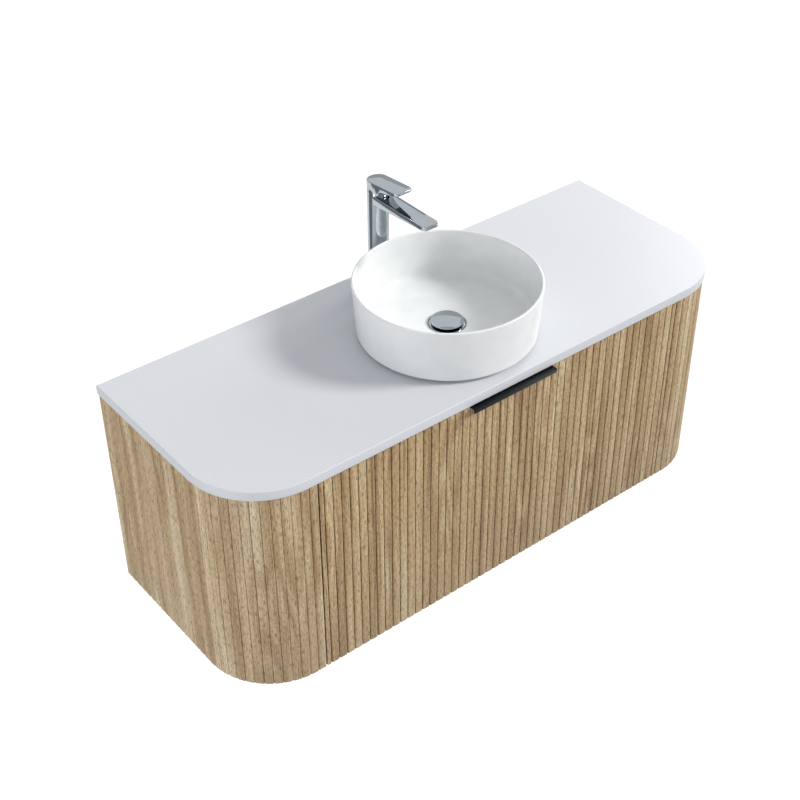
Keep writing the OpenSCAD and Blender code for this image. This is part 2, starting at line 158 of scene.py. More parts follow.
def finished(name, bm, material, sharp=35, merge=True):
    """Turns a bmesh into a piece with smooth faces and crisp corners."""
    if merge:
        bmesh.ops.remove_doubles(bm, verts=bm.verts, dist=1e-6)
        bmesh.ops.recalc_face_normals(bm, faces=bm.faces)
    for face in bm.faces:
        face.smooth = True
    for edge in bm.edges:
        if len(edge.link_faces) == 2 and edge.calc_face_angle(0) > math.radians(sharp):
            edge.smooth = False
    mesh = bpy.data.meshes.new(name)
    bm.to_mesh(mesh)
    bm.free()
    piece = bpy.data.objects.new(name, mesh)
    bpy.context.scene.collection.objects.link(piece)
    mesh.materials.append(material)
    return piece


def prism(bm, loops, z0, z1, edge, steps=3, place=Matrix()):
    """A plate of that plan, loops[0] outside and the others holes, with rounded arrises."""
    turns = [math.pi / 2 * k / steps for k in range(steps + 1)]
    levels = [(edge * (1 - math.sin(a)), z0 + edge * (1 - math.cos(a))) for a in turns]
    levels += [(edge * (1 - math.cos(a)), z1 - edge * (1 - math.sin(a))) for a in turns]
    if edge == 0:
        levels = [(0, z0), (0, z1)]
    caps = ([], [])
    for n, loop in enumerate(loops):
        area = sum(a[0] * b[1] - b[0] * a[1] for a, b in zip(loop, loop[1:] + loop[:1]))
        if (area < 0) == (n == 0):
            loop = loop[::-1]
        rings = []
        for inset, z in levels:
            ring = moved_in(loop, inset) if inset else loop
            rings.append([bm.verts.new(place @ Vector((x, y, z))) for x, y in ring])
        for under, over in zip(rings, rings[1:]):
            for i in range(len(loop)):
                j = (i + 1) % len(loop)
                bm.faces.new((under[i], under[j], over[j], over[i]))
        for cap, ring in zip(caps, (rings[0], rings[-1])):
            for i, v in enumerate(ring):
                seam = bm.edges.get((v, ring[(i + 1) % len(ring)]))
                seam.smooth = False
                cap.append(seam)
    for cap in caps:
        bmesh.ops.triangle_fill(bm, use_beauty=True, use_dissolve=False, edges=cap)


def turned(bm, profile, centre, steps=96, axis=Matrix(), closed=True):
    """Turns an outline of (radius, height) about an upright axis through centre."""
    rings = []
    for r, z in profile:
        if r < 1e-7:
            rings.append([bm.verts.new(centre + axis @ Vector((0, 0, z)))] * steps)
            continue
        ring = []
        for k in range(steps):
            a = 2 * math.pi * k / steps
            ring.append(bm.verts.new(centre + axis @ Vector((r * math.cos(a), r * math.sin(a), z))))
        rings.append(ring)
    pairs = list(zip(rings, rings[1:]))
    if closed:
        pairs.append((rings[-1], rings[0]))
    for a, b in pairs:
        for k in range(steps):
            m = (k + 1) % steps
            corners = []
            for v in (a[k], a[m], b[m], b[k]):
                if v not in corners:
                    corners.append(v)
            if len(corners) > 2:
                bm.faces.new(corners)


def lofted(bm, sections):
    """A closed skin over sections with the same number of points, capped at both ends."""
    rings = [[bm.verts.new(p) for p in section] for section in sections]
    for a, b in zip(rings, rings[1:]):
        for k in range(len(a)):
            m = (k + 1) % len(a)
            bm.faces.new((a[k], a[m], b[m], b[k]))
    bm.faces.new(rings[0])
    bm.faces.new(rings[-1][::-1])


# ---------- node trees ----------


def colour(code):
    """Linear colour from an sRGB hex code."""
    parts = [int(code[k:k + 2], 16) / 255 for k in (1, 3, 5)]
    return [p / 12.92 if p <= 0.04045 else ((p + 0.055) / 1.055) ** 2.4 for p in parts] + [1]


def add(tree, kind, inputs=None, stops=(), **settings):
    """Adds a node with its settings, its inputs as values or links, and a ramp's stops."""
    made = tree.nodes.new(kind)
    for key, value in settings.items():
        setattr(made, key, value)
    for key, value in (inputs or {}).items():
        if isinstance(value, bpy.types.Node):
            value = value.outputs[0]
        if isinstance(value, bpy.types.NodeSocket):
            tree.links.new(value, made.inputs[key])
        else:
            made.inputs[key].default_value = value
    for k, (place, code) in enumerate(stops):
        if k > 1:
            made.color_ramp.elements.new(0.99)
        made.color_ramp.elements[k].position = place
        made.color_ramp.elements[k].color = colour(code)
    return made


def new_finish(name, **values):
    """A material with one Principled shader and its uniform values set on the shader."""
    material = bpy.data.materials.new(name)
    material.use_nodes = True
    tree = material.node_tree
    tree.nodes.clear()
    shader = add(tree, "ShaderNodeBsdfPrincipled", {k.replace("_", " "): v for k, v in values.items()})
    add(tree, "ShaderNodeOutputMaterial", {"Surface": shader})
    return material, tree, shader


def maths(tree, operation, *numbers):
    """A math node on numbers or links."""
    return add(tree, "ShaderNodeMath", dict(enumerate(numbers)), operation=operation)


def noise(tree, place, sizes, detail):
    """Noise with features of those sizes in metres; a size of 0 leaves that axis out."""
    scale = [1 / size if size else 0 for size in sizes]
    place = add(tree, "ShaderNodeMapping", {"Vector": place, "Scale": scale})
    return add(tree, "ShaderNodeTexNoise", {"Vector": place, "Scale": 1, "Detail": detail})


# ---------- finishes ----------


def oak_veneer():
    # Sliced oak veneer wrapped over the slats, matt lacquered. The eye sees long upright
    # streaks, cathedral figure that runs on from slat to slat, open pores and a dull sheen.
    # The grooves carry painted shade, and the side panels carry painted light.
    made, tree, shader = new_finish("oak_veneer_matt_lacquer", IOR=1.5)
    grain = add(tree, "ShaderNodeAttribute", attribute_name="grain").outputs["Vector"]
    across, depth, up = add(tree, "ShaderNodeSeparateXYZ", {0: grain}).outputs
    # The leaf wanders a little sideways as it goes up.
    drift = noise(tree, grain, (0.16, 0, 0.33), 1)
    pushed = maths(tree, "MULTIPLY_ADD", drift, 0.03, across)
    leaf = add(tree, "ShaderNodeCombineXYZ", {0: pushed, 2: up})
    # Broad bands of tone, fine streaks and each slat's own tone.
    band = noise(tree, leaf, (0.034, 0, 0.9), 2)
    streak = noise(tree, leaf, (0.0034, 0, 0.24), 3)
    slat_number = maths(tree, "DIVIDE", across, slat_pitch)
    slat_number = maths(tree, "FLOOR", slat_number)
    own = add(tree, "ShaderNodeTexWhiteNoise", {"W": slat_number}, noise_dimensions="1D")
    # Cathedral figure: rings of a slow noise, shown in patches.
    flame = noise(tree, leaf, (0.075, 0, 0.55), 1)
    rings = maths(tree, "MULTIPLY", flame, 70)
    figure = maths(tree, "SINE", rings)
    patch = noise(tree, grain, (0.09, 0, 0.26), 0)
    shown = add(tree, "ShaderNodeMapRange", {0: patch, 1: 0.48, 2: 0.66, 3: 0.01, 4: 0.1})
    tone = maths(tree, "MULTIPLY", figure, shown)
    tone = maths(tree, "MULTIPLY_ADD", band, 1.05, tone)
    tone = maths(tree, "MULTIPLY_ADD", streak, 0.55, tone)
    tone = maths(tree, "MULTIPLY_ADD", own, 0.12, tone)
    fleck = noise(tree, grain, (0.0024, 0, 0.006), 1)
    tone = maths(tree, "MULTIPLY_ADD", fleck, 0.4, tone)
    level = add(tree, "ShaderNodeMapRange", {0: tone, 1: 0.76, 2: 1.36})
    # Painted light: the side panels' leaves are painted paler and greyer than the front's, the left panel
    # most, and are calmer.
    pale = add(tree, "ShaderNodeAttribute", attribute_name="pale").outputs["Fac"]
    calm = maths(tree, "MULTIPLY_ADD", pale, -0.18, 1)
    swing = maths(tree, "SUBTRACT", level, 0.52)
    level = maths(tree, "MULTIPLY_ADD", swing, calm, 0.52)
    wood = add(
        tree, "ShaderNodeValToRGB", {0: level},
        stops=((0, "#7C5D3C"), (0.3, "#A2845B"), (0.6, "#BDA279"), (1, "#D8C5A1")),
    )
    wood = add(
        tree, "ShaderNodeMix", {0: pale, 6: wood, 7: (1.08, 1.13, 1.27, 1)}, data_type="RGBA",
        blend_type="MULTIPLY",
    )
    # Open pores, and painted shade down in the grooves: darker the deeper a point lies, lighter on the side
    # panels.
    pore = noise(tree, grain, (0.0013, 0, 0.014), 1)
    open_pore = add(tree, "ShaderNodeMapRange", {0: pore, 1: 0.36, 2: 0.5, 3: 0.5, 4: 1.02})
    bottom = maths(tree, "MULTIPLY_ADD", pale, 0.5, 0.22)
    shade = add(tree, "ShaderNodeMapRange", {0: depth, 1: 0.3, 2: 0.9, 3: 1, 4: bottom})
    dark = maths(tree, "MULTIPLY", open_pore, shade)
    tinted = add(
        tree, "ShaderNodeMix", {0: 1, 6: wood.outputs[2], 7: dark}, data_type="RGBA", blend_type="MULTIPLY"
    )
    tree.links.new(tinted.outputs[2], shader.inputs["Base Color"])
    sheen = add(tree, "ShaderNodeMapRange", {0: streak, 3: 0.62, 4: 0.48})
    tree.links.new(sheen.outputs[0], shader.inputs["Roughness"])
    relief = maths(tree, "MULTIPLY_ADD", streak, 0.4, open_pore)
    bump = add(tree, "ShaderNodeBump", {"Strength": 0.35, "Distance": 0.0002, "Height": relief})
    tree.links.new(bump.outputs[0], shader.inputs["Normal"])
    return made


def mottled(name, dark, light, size, rough, relief, **values):
    """A finish of two near tones in spots of that size, with its own roughness and relief."""
    made, tree, shader = new_finish(name, **values)
    place = add(tree, "ShaderNodeTexCoord").outputs["Object"]
    spots = noise(tree, place, size, 3)
    tones = add(tree, "ShaderNodeValToRGB", {0: spots}, stops=((0.3, dark), (0.7, light)))
    tree.links.new(tones.outputs[0], shader.inputs["Base Color"])
    sheen = add(tree, "ShaderNodeMapRange", {0: spots, 3: rough[0], 4: rough[1]})
    tree.links.new(sheen.outputs[0], shader.inputs["Roughness"])
    bump = add(tree, "ShaderNodeBump", {"Strength": relief, "Distance": 0.0002, "Height": spots})
    tree.links.new(bump.outputs[0], shader.inputs["Normal"])
    return made


def melamine_board():
    # Chipboard faced with a printed melamine foil: a pale, even wood print pressed with fine pores.
    made, tree, shader = new_finish("melamine_faced_board", IOR=1.5)
    grain = add(tree, "ShaderNodeAttribute", attribute_name="grain").outputs["Vector"]
    broad = noise(tree, grain, (0.9, 0.03, 0.03), 2)
    fine = noise(tree, grain, (0.12, 0.0022, 0.0022), 3)
    tone = maths(tree, "MULTIPLY_ADD", broad, 0.8, fine)
    wood = add(
        tree, "ShaderNodeValToRGB", {0: tone},
        stops=((0.55, "#B79C77"), (0.85, "#C9B18E"), (1, "#D6C2A3")),
    )
    tree.links.new(wood.outputs[0], shader.inputs["Base Color"])
    sheen = add(tree, "ShaderNodeMapRange", {0: fine, 3: 0.5, 4: 0.38})
    tree.links.new(sheen.outputs[0], shader.inputs["Roughness"])
    bump = add(tree, "ShaderNodeBump", {"Strength": 0.15, "Distance": 0.0001, "Height": fine})
    tree.links.new(bump.outputs[0], shader.inputs["Normal"])
    return made


finishes = {
    "oak_veneer": oak_veneer(),
    # Acrylic-bound mineral sheet, sanded to a satin: an even cool white with the faintest cloud.
    "solid_surface": mottled(
        "solid_surface_satin", "#D1D3D7", "#D5D7DB", (0.004,) * 3, (0.38, 0.44), 0.03, IOR=1.5
    ),
    "carcass_board": melamine_board(),
    # Vitreous china under a fired glaze: deep gloss over a very slightly uneven white.
    "ceramic": mottled(
        "vitreous_china_glaze", "#E8EAEA", "#EDEFEE", (0.03,) * 3, (0.06, 0.09), 0.006, IOR=1.55
    ),
    # Polished brass plated with nickel and chromium: a cool mirror, darker than silver.
    "chrome": mottled(
        "chromium_plate_polished", "#B3BBC0", "#B8C0C5", (0.02,) * 3, (0.035, 0.06), 0.004,
        Metallic=1.0,
    ),
    # Extruded aluminium, fine-brushed along its length and anodised black: a soft dark sheen in lines.
    "black_aluminium": mottled(
        "aluminium_anodised_black", "#111214", "#1C1D20", (0.06, 0.0009, 0.0009), (0.3, 0.42), 0.12,
        Metallic=0.75,
    ),
    # Rolled steel with bright zinc plating: a grey metal with soft lines and a mottled sheen.
    "zinc_steel": mottled(
        "steel_zinc_plated", "#A5A9AD", "#BCBFC2", (0.006, 0.05, 0.004), (0.28, 0.42), 0.08, Metallic=1.0
    ),
    # Screws in black-passivated zinc: dark, a little oily, slightly uneven.
    "black_steel": mottled(
        "steel_black_passivated", "#141416", "#242529", (0.002,) * 3, (0.3, 0.5), 0.1, Metallic=0.8
    ),
    # Moulded EPDM rubber: matt black with a dusty bloom.
    "rubber": mottled(
        "rubber_moulded", "#161616", "#232323", (0.0015,) * 3, (0.7, 0.85), 0.2, IOR=1.52
    ),
    # Neutral-cure silicone drawn with a wet finger: white, soft gloss, faint ripples.
    "sealant": mottled(
        "silicone_sealant", "#DADBDA", "#E8E8E6", (0.006,) * 3, (0.3, 0.42), 0.25, IOR=1.41
    ),
    # Turned brass, left as machined: yellow metal with fine rings.
    "brass": mottled(
        "brass_as_turned", "#B08D4C", "#C9A761", (0.004, 0.004, 0.0004), (0.22, 0.34), 0.15, Metallic=1.0
    ),
    # Moulded acetal: an off-white, slightly waxy plastic with a fine spark texture.
    "moulded_plastic": mottled(
        "acetal_moulded", "#B9B9B5", "#C8C8C4", (0.0008,) * 3, (0.4, 0.5), 0.15, IOR=1.48
    ),
}

slot_of = {part["node"]: part["material_slot"] for part in frame["record"]["subparts"]}
bodies = frame["record"]["behaviour"]["bodies"]
body_of = {node: body for body, nodes in bodies.items() for node in nodes}
for name, thing in frame["nodes"].items():
    for holder in thing.material_slots:
        holder.material = finishes[slot_of[name]]
    if not thing.material_slots:
        thing.data.materials.append(finishes[slot_of[name]])


def made_for(node, piece):
    """Hands a finished piece over in a CAD node's place, on the node's body."""
    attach(piece, body_of[node])
    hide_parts(node)


def fitted(name, node, bm, sharp=35):
    """Makes a piece in the node's own finish and hands it over in the node's place."""
    made_for(node, finished(name, bm, finishes[slot_of[node]], sharp))


def turned_piece(name, node, profile, centre, steps=96, axis=Matrix(), closed=True, sharp=35):
    bm = bmesh.new()
    turned(bm, profile, centre, steps, axis, closed)
    fitted(name, node, bm, sharp)


def grown(piece, tree, values):
    """Runs a geometry node tree on a piece with those inputs and keeps the plain mesh."""
    way = piece.modifiers.new(tree.name, "NODES")
    way.node_group = tree
    for item in tree.interface.items_tree:
        if item.name in values:
            way[item.identifier] = values[item.name]
    seen = piece.evaluated_get(bpy.context.evaluated_depsgraph_get())
    plain = bpy.data.meshes.new_from_object(seen)
    piece.modifiers.clear()
    piece.data = plain
    return piece


def cut(piece, *cutters):
    """Takes the cutters' shapes out of a piece and marks its crisp corners again."""
    for cutter in cutters:
        knife = piece.modifiers.new("cut", "BOOLEAN")
        knife.object = cutter
        knife.solver = "EXACT"
    seen = piece.evaluated_get(bpy.context.evaluated_depsgraph_get())
    bm = bmesh.new()
    bm.from_mesh(seen.to_mesh())
    name = piece.name
    material = piece.material_slots[0].material
    for gone in (piece, *cutters):
        bpy.data.objects.remove(gone)
    return finished(name, bm, material, 30)


# ---------- slats ----------


def new_group(name, output, **given):
    """An empty geometry node tree with those inputs and one geometry output."""
    tree = bpy.data.node_groups.new(name, "GeometryNodeTree")
    for label, kind in given.items():
        tree.interface.new_socket(
            label.replace("_", " "), in_out="INPUT", socket_type="NodeSocket" + kind
        )
    tree.interface.new_socket(output, in_out="OUTPUT", socket_type="NodeSocketGeometry")
    return tree, tree.nodes.new("NodeGroupInput").outputs


def slat_run_tree():
    """Sets copies of one slat side by side along a straight, a quarter bend and a straight."""
    tree, given = new_group(
        "slat_run", "Run", Slat="Geometry", Slats="Int", Pitch="Float", First_straight="Float",
        Bend_radius="Float", Start="Vector", Finish="Material",
    )
    straight = given["First straight"]
    radius = given["Bend radius"]
    # Length along the run to each slat's middle, and how far that is round the bend.
    index = add(tree, "GeometryNodeInputIndex")
    number = maths(tree, "ADD", index, 0.5)
    along = maths(tree, "MULTIPLY", number, given["Pitch"])
    past = maths(tree, "SUBTRACT", along, straight)
    past = maths(tree, "MAXIMUM", past, 0.0)
    turn = maths(tree, "DIVIDE", past, radius)
    turn = maths(tree, "MINIMUM", turn, math.pi / 2)
    round_bend = maths(tree, "MULTIPLY", radius, math.pi / 2)
    last = maths(tree, "SUBTRACT", past, round_bend)
    last = maths(tree, "MAXIMUM", last, 0.0)
    # Where each slat stands.
    before = maths(tree, "MINIMUM", along, straight)
    sine = maths(tree, "SINE", turn)
    x = maths(tree, "MULTIPLY_ADD", radius, sine, before)
    cosine = maths(tree, "COSINE", turn)
    versine = maths(tree, "SUBTRACT", 1.0, cosine)
    y = maths(tree, "MULTIPLY_ADD", radius, versine, last)
    spot = add(tree, "ShaderNodeCombineXYZ", {0: x, 1: y})
    spot = add(tree, "ShaderNodeVectorMath", {0: spot, 1: given["Start"]})
    points = add(tree, "GeometryNodeMeshLine", {"Count": given["Slats"]})
    points = add(tree, "GeometryNodeSetPosition", {"Geometry": points, "Position": spot})
    points = add(
        tree, "GeometryNodeStoreNamedAttribute", {"Geometry": points, "Name": "run", "Value": along},
    )
    # Each copy keeps its own coordinates, so that the veneer can run on over all of them.
    own = add(tree, "GeometryNodeInputPosition")
    slat = add(
        tree, "GeometryNodeStoreNamedAttribute", {"Geometry": given["Slat"], "Name": "own", "Value": own},
        data_type="FLOAT_VECTOR",
    )
    angle = add(tree, "ShaderNodeCombineXYZ", {2: turn})
    rotation = add(tree, "FunctionNodeEulerToRotation", {0: angle})
    copies = add(
        tree, "GeometryNodeInstanceOnPoints", {"Points": points, "Instance": slat, "Rotation": rotation}
    )
    solid = add(tree, "GeometryNodeRealizeInstances", {0: copies})
    run = add(tree, "GeometryNodeInputNamedAttribute", {"Name": "run"})
    own = add(tree, "GeometryNodeInputNamedAttribute", {"Name": "own"}, data_type="FLOAT_VECTOR")
    across, deep, up = add(tree, "ShaderNodeSeparateXYZ", {0: own}).outputs
    across = maths(tree, "ADD", run, across)
    # The depth below the slat faces goes along with the grain, for the veneer's painted groove shade.
    deep = maths(tree, "DIVIDE", deep, groove_depth)
    sheet = add(tree, "ShaderNodeCombineXYZ", {0: across, 1: deep, 2: up})
    solid = add(
        tree, "GeometryNodeStoreNamedAttribute", {"Geometry": solid, "Name": "grain", "Value": sheet},
        data_type="FLOAT_VECTOR",
    )
    solid = add(tree, "GeometryNodeSetMaterial", {"Geometry": solid, "Material": given["Finish"]})
    add(tree, "NodeGroupOutput", {0: solid})
    return tree


slat_run = slat_run_tree()


def slat_edge(x, way):
    """The rounded long edge of a slat from its side at x to its flat face, as (x, depth)."""
    wide, deep = slat_round
    turns = [math.radians(15 * k) for k in range(7)]
    return [(x + way * wide * (1 - math.cos(a)), deep * (1 - math.sin(a))) for a in turns]


def slat(bm, width, gap, z0, z1):
    """One slat: flat face on y = 0 with well-rounded long edges, its root sunk in the board."""
    half = width / 2 - gap
    edges = slat_edge(-half, 1) + slat_edge(half, -1)[::-1]
    prism(bm, [[(-half, slat_root)] + edges + [(half, slat_root)]], z0, z1, 0.4 * MM, 2)


def run_of_slats(name, count, pitch, gap, straight, bend, start, z0, z1):
    bm = bmesh.new()
    slat(bm, pitch, gap, z0, z1)
    piece = finished(name, bm, finishes["oak_veneer"])
    return grown(piece, slat_run, {
        "Slats": count, "Pitch": pitch, "First straight": straight, "Bend radius": bend,
        "Start": start, "Finish": finishes["oak_veneer"],
    })


def grain_from(piece, rule):
    """Writes the grain coordinates of a piece whose veneer isn't laid by the slat run."""
    store = piece.data.attributes.new("grain", "FLOAT_VECTOR", "POINT")
    for v, mark in zip(piece.data.vertices, store.data):
        mark.vector = rule(v.co)


def joined(name, parts):
    """One mesh from several, keeping the grain attribute."""
    with bpy.context.temp_override(active_object=parts[0], selected_editable_objects=parts):
        bpy.ops.object.join()
    parts[0].name = name
    parts[0].data.name = name
    return parts[0]


bend_length = cab_r * math.pi / 2
panel_length = straight_return + bend_length + cab_depth - cab_r
panel_slats = round(panel_length / slat_pitch)
seam_x = side_low.x
face_back = cab_depth - board
# Where on the leaf the drawer front and the left panel are cut from
front_leaf = 0.9
left_leaf = (-3.1, 0.4)


def panel_rule(co):
    """Length round the plan from the drawer seam, as veneer lies on the right-hand panel."""
    side = abs(co.x)
    centre = Vector((cab_hw - cab_r, -cab_depth + cab_r))
    # The board behind the slats shows only down in the grooves, so its depth is 1: full painted groove
    # shade.
    if side < centre.x:
        return (side - seam_x, 1, co.z)
    if co.y > centre.y:
        return (straight_return + bend_length + co.y - centre.y, 1, co.z)
    angle = math.atan2(side - centre.x, centre.y - co.y)
    return (straight_return + angle * cab_r, 1, co.z)


def side_panel(name, node, left):
    slats = run_of_slats(
        name, panel_slats, panel_length / panel_slats, panel_groove_half, straight_return, cab_r,
        (seam_x, -cab_depth, 0), side_low.z, side_high.z,
    )
    bm = bmesh.new()
    mid = (cab_hw - cab_r, cab_r - cab_depth)
    d = groove_depth
    plan = [(seam_x, -face_back), (seam_x, d - cab_depth)]
    plan += arc(*mid, cab_r - d, -90, 0, 32)
    plan += [(cab_hw - d, 0), (cab_hw - board, 0)]
    plan += arc(*mid, cab_r - board, 0, -90, 32)
    prism(bm, [plan], side_low.z, side_high.z, 0.3 * MM, 1)
    backing = finished(name + "_board", bm, finishes["oak_veneer"])
    grain_from(backing, panel_rule)
    piece = joined(name, [slats, backing])
    if left:
        for v in piece.data.vertices:
            v.co.x = -v.co.x
        piece.data.flip_normals()
        for mark in piece.data.attributes["grain"].data:
            across, depth, up = mark.vector
            mark.vector = (left_leaf[0] - across, depth, left_leaf[1] + up)
    # Painted light: how much paler each side panel is painted and how much lighter its painted groove shade
    # is, most on the left.
    leaf = piece.data.attributes.new("pale", "FLOAT", "POINT")
    for mark in leaf.data:
        mark.value = 1 if left else 0.2
    made_for(node, piece)


side_panel("slatted_panel_right", "side_shell_right", False)
side_panel("slatted_panel_left", "side_shell_left", True)


def slatted_drawer_front():
    """Runs of slats beside and under the pull, a narrow strip at each end, and the board behind."""
    half = front_high.x
    face = -cab_depth
    z0 = front_low.z
    z1 = front_high.z
    under_sheet = z1 - pull_sheet - pull_gap
    whole = 2 * int((half - slat_pitch / 2 - 3 * MM) / slat_pitch) + 1
    under_pull = 2 * int(pull_high.x / slat_pitch) + 1
    beside = (whole - under_pull) // 2
    stretches = (
        ("left_slats", beside, -whole / 2, z1),
        ("middle_slats", under_pull, -under_pull / 2, under_sheet),
        ("right_slats", beside, under_pull / 2, z1),
    )
    runs = []
    # A first straight of 10 m, so that no slat reaches the bend
    straight = 10
    for name, count, first, top in stretches:
        start = (first * slat_pitch, face, 0)
        run = run_of_slats(name, count, slat_pitch, groove_half, straight, 1, start, z0, top)
        for mark in run.data.attributes["grain"].data:
            mark.vector.x += first * slat_pitch - front_leaf
        runs.append(run)
    bm = bmesh.new()
    strip = half - whole / 2 * slat_pitch
    inner = half - strip + 2 * groove_half
    end = [(inner, slat_root)] + slat_edge(inner, 1) + [(half - MM, 0), (half, MM), (half, slat_root)]
    for side in (-1, 1):
        prism(bm, [[(side * x, face + y) for x, y in end]], z0, z1, 0.4 * MM, 2)
    root = face + groove_depth
    back = [(-half, -face_back), (-half, root), (half, root), (half, -face_back)]
    prism(bm, [back], z0, under_sheet, 0.3 * MM, 1)
    rest = finished("drawer_front_board", bm, finishes["oak_veneer"])
    # The depth behind the slat faces sets the painted groove shade.
    grain_from(rest, lambda co: (co.x - front_leaf, (co.y - face) / groove_depth, co.z))
    made_for("drawer_front", joined("slatted_drawer_front", runs + [rest]))


slatted_drawer_front()

# ---------- top ----------


def plan_of_top(hw, depth, r):
    plan = [(hw, 0), (-hw, 0)]
    plan += arc(-hw + r, -depth + r, r, 180, 270, 48)
    plan += arc(hw - r, -depth + r, r, 270, 360, 48)
    return plan


def stone_top():
    """The slab with its holes for the waste and the tap, its arrises rounded by hand."""
    waste_hole = arc(0, basin_y, 24 * MM, 0, 355, 71)
    tap_hole = arc(0, tap_y, 17.5 * MM, 0, 355, 71)
    plan = plan_of_top(top_high.x, -top_low.y, corner_r)
    bm = bmesh.new()
    prism(bm, [plan, waste_hole, tap_hole], top_low.z, top_high.z, 1.6 * MM, 5)
    fitted("stone_top", "vanity_top", bm)


stone_top()

# ---------- basin and waste ----------


def vessel_basin():
    """A cast bowl: straight outer wall on a small foot, thin round rim, coved floor to the drain."""
    height = basin_high.z - basin_low.z
    basin_r = basin_high.x
    foot_r = basin_base_r - 13 * MM
    foot_h = 3 * MM
    fillet = 8 * MM
    cove = 17 * MM
    floor = 16.5 * MM
    recess = 12 * MM
    lip = basin_wall / 2
    slope = (basin_r - basin_base_r) / (height - foot_h - fillet)
    wall_r = basin_base_r - basin_wall - 1.5 * MM + slope * cove
    out = [(foot_r - 14 * MM, 0), (foot_r - MM, 0), (foot_r, MM), (foot_r, foot_h)]
    out += arc(basin_base_r - fillet, foot_h + fillet, fillet, -90, 0, 10)
    out += arc(basin_r - lip, height - lip, lip, 0, 180, 14)
    out += arc(wall_r - cove, floor + 2.5 * MM + cove, cove, 0, -90, 16)
    out += [(120 * MM, floor + 1.7 * MM), (75 * MM, floor + 0.7 * MM)]
    out += arc(38.5 * MM, floor - 2.5 * MM, 2.5 * MM, 90, 180, 6)
    out += [(36 * MM, recess), (23 * MM, recess), (23 * MM, 5 * MM), (foot_r - 18 * MM, 5 * MM)]
    turned_piece("vessel_basin", "basin", out, basin_foot, 192, sharp=40)


def waste_fitting():
    """Flange, threaded tail and the three-spoked guide for the plug's stem."""
    top = waste_high.z - basin_low.z
    tail = waste_low.z - basin_low.z
    root_r = waste_r - thread_depth
    seat_r = 35 * MM
    rim = top - 2.5 * MM
    thread = []
    for k in range(24):
        z = tail + (1 + 2 * k) * MM
        thread += [(root_r, z, 0), (waste_r, z + 0.8 * MM, 0), (waste_r, z + 1.2 * MM, 0)]
    flange = rounded([
        (waste_bore, tail, 0.5 * MM), (root_r, tail, 0.2 * MM), *thread, (root_r, z + 2 * MM, 0),
        (root_r, rim, 0), (seat_r, rim, 0.4 * MM), (seat_r, top, 1.8 * MM), (18.5 * MM, top, 0.8 * MM),
        (waste_bore, top - 2.2 * MM, 0.6 * MM),
    ], 4)
    bm = bmesh.new()
    turned(bm, flange, basin_foot, 96)
    sleeve = [(4.1 * MM, -30 * MM), (6 * MM, -30 * MM), (6 * MM, -12 * MM), (4.1 * MM, -12 * MM)]
    turned(bm, rounded([(r, z, 0.3 * MM) for r, z in sleeve], 2), basin_foot, 32)
    spoke = [(5.5 * MM, -MM), (16.5 * MM, -MM), (16.5 * MM, MM), (5.5 * MM, MM)]
    for k in range(3):
        turn = Matrix.Translation(basin_foot) @ Matrix.Rotation(k * math.tau / 3, 4, "Z")
        prism(bm, [spoke], -30 * MM, -20 * MM, 0.3 * MM, 1, turn)
    fitted("waste_fitting", "waste_body", bm)


def pop_up_plug():
    """A domed cap with a rolled edge over its stem."""
    plug_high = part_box("waste_plug")[1]
    r = plug_high.x
    rise = 2.5 * MM
    brim = 2 * MM
    z = plug_high.z - basin_low.z - rise - brim
    dome = []
    for k in range(1, 17):
        q = 1 - k / 16
        dome.append((r * q, z + brim + rise * (1 - q ** 2)))
    stem_r = 4 * MM
    seal_r = 13 * MM
    out = [
        (0, z - 45 * MM), (stem_r - 0.6 * MM, z - 45 * MM), (stem_r, z - 44.4 * MM), (stem_r, z - 14 * MM),
        (seal_r, z - 12 * MM), (seal_r, z - 6 * MM), (11 * MM, z - 6 * MM), (11 * MM, z - 3.5 * MM),
    ]
    under = z + 0.15 * MM
    edge = 1.1 * MM
    out += [(seal_r, z - 3.5 * MM), (seal_r, under)]
    out += arc(r - edge, under + edge, edge, -90, 50, 8)
    turned_piece("pop_up_plug", "waste_plug", out + dome, basin_foot, closed=False, sharp=40)


vessel_basin()
waste_fitting()
pop_up_plug()

# ---------- mixer tap ----------

tap_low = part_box("tap_body")[0]
tap_foot = Vector((0, tap_y, tap_low.z))
spout_reach = tap_y - tap_low.y
spout_half = 18.5 * MM
joint_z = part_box("tap_cap")[0].z - tap_low.z
spout_top = joint_z - 7 * MM
tap_pivot = tap_foot + Vector((0, 0, joint_z - 17 * MM))
dome_r = math.hypot(column_r, 22 * MM)


def spout_section(y, half, z0, z1, notch):
    """Cross-section of the spout, with rounded edges and a groove near each side of its top."""
    r = min(1.3 * MM, (z1 - z0) * 0.45, half * 0.45)
    ring = []
    for cx, cz, a in ((half - r, z0 + r, -90), (half - r, z1 - r, 0)):
        ring += arc(cx, cz, r, a, a + 90, 4)
    reach = min(14.5 * MM, half - r - 1.6 * MM)
    notch_half = 1.25 * MM
    groove = [(notch_half, 0), (notch_half, -notch), (-notch_half, -notch), (-notch_half, 0)]
    ring += [(reach + dx, z1 + dz) for dx, dz in groove]
    ring += [(-reach + dx, z1 + dz) for dx, dz in groove]
    for cx, cz, a in ((-half + r, z1 - r, 90), (-half + r, z0 + r, 180)):
        ring += arc(cx, cz, r, a, a + 90, 4)
    return [tap_foot + Vector((x, y, z)) for x, z in ring]


def nose(t, reach, half, r):
    """Half width of a blade whose end has corners of radius r in plan."""
    over = max(0, t - (reach - r))
    return half - r + math.sqrt(max(r * r - over * over, 0))


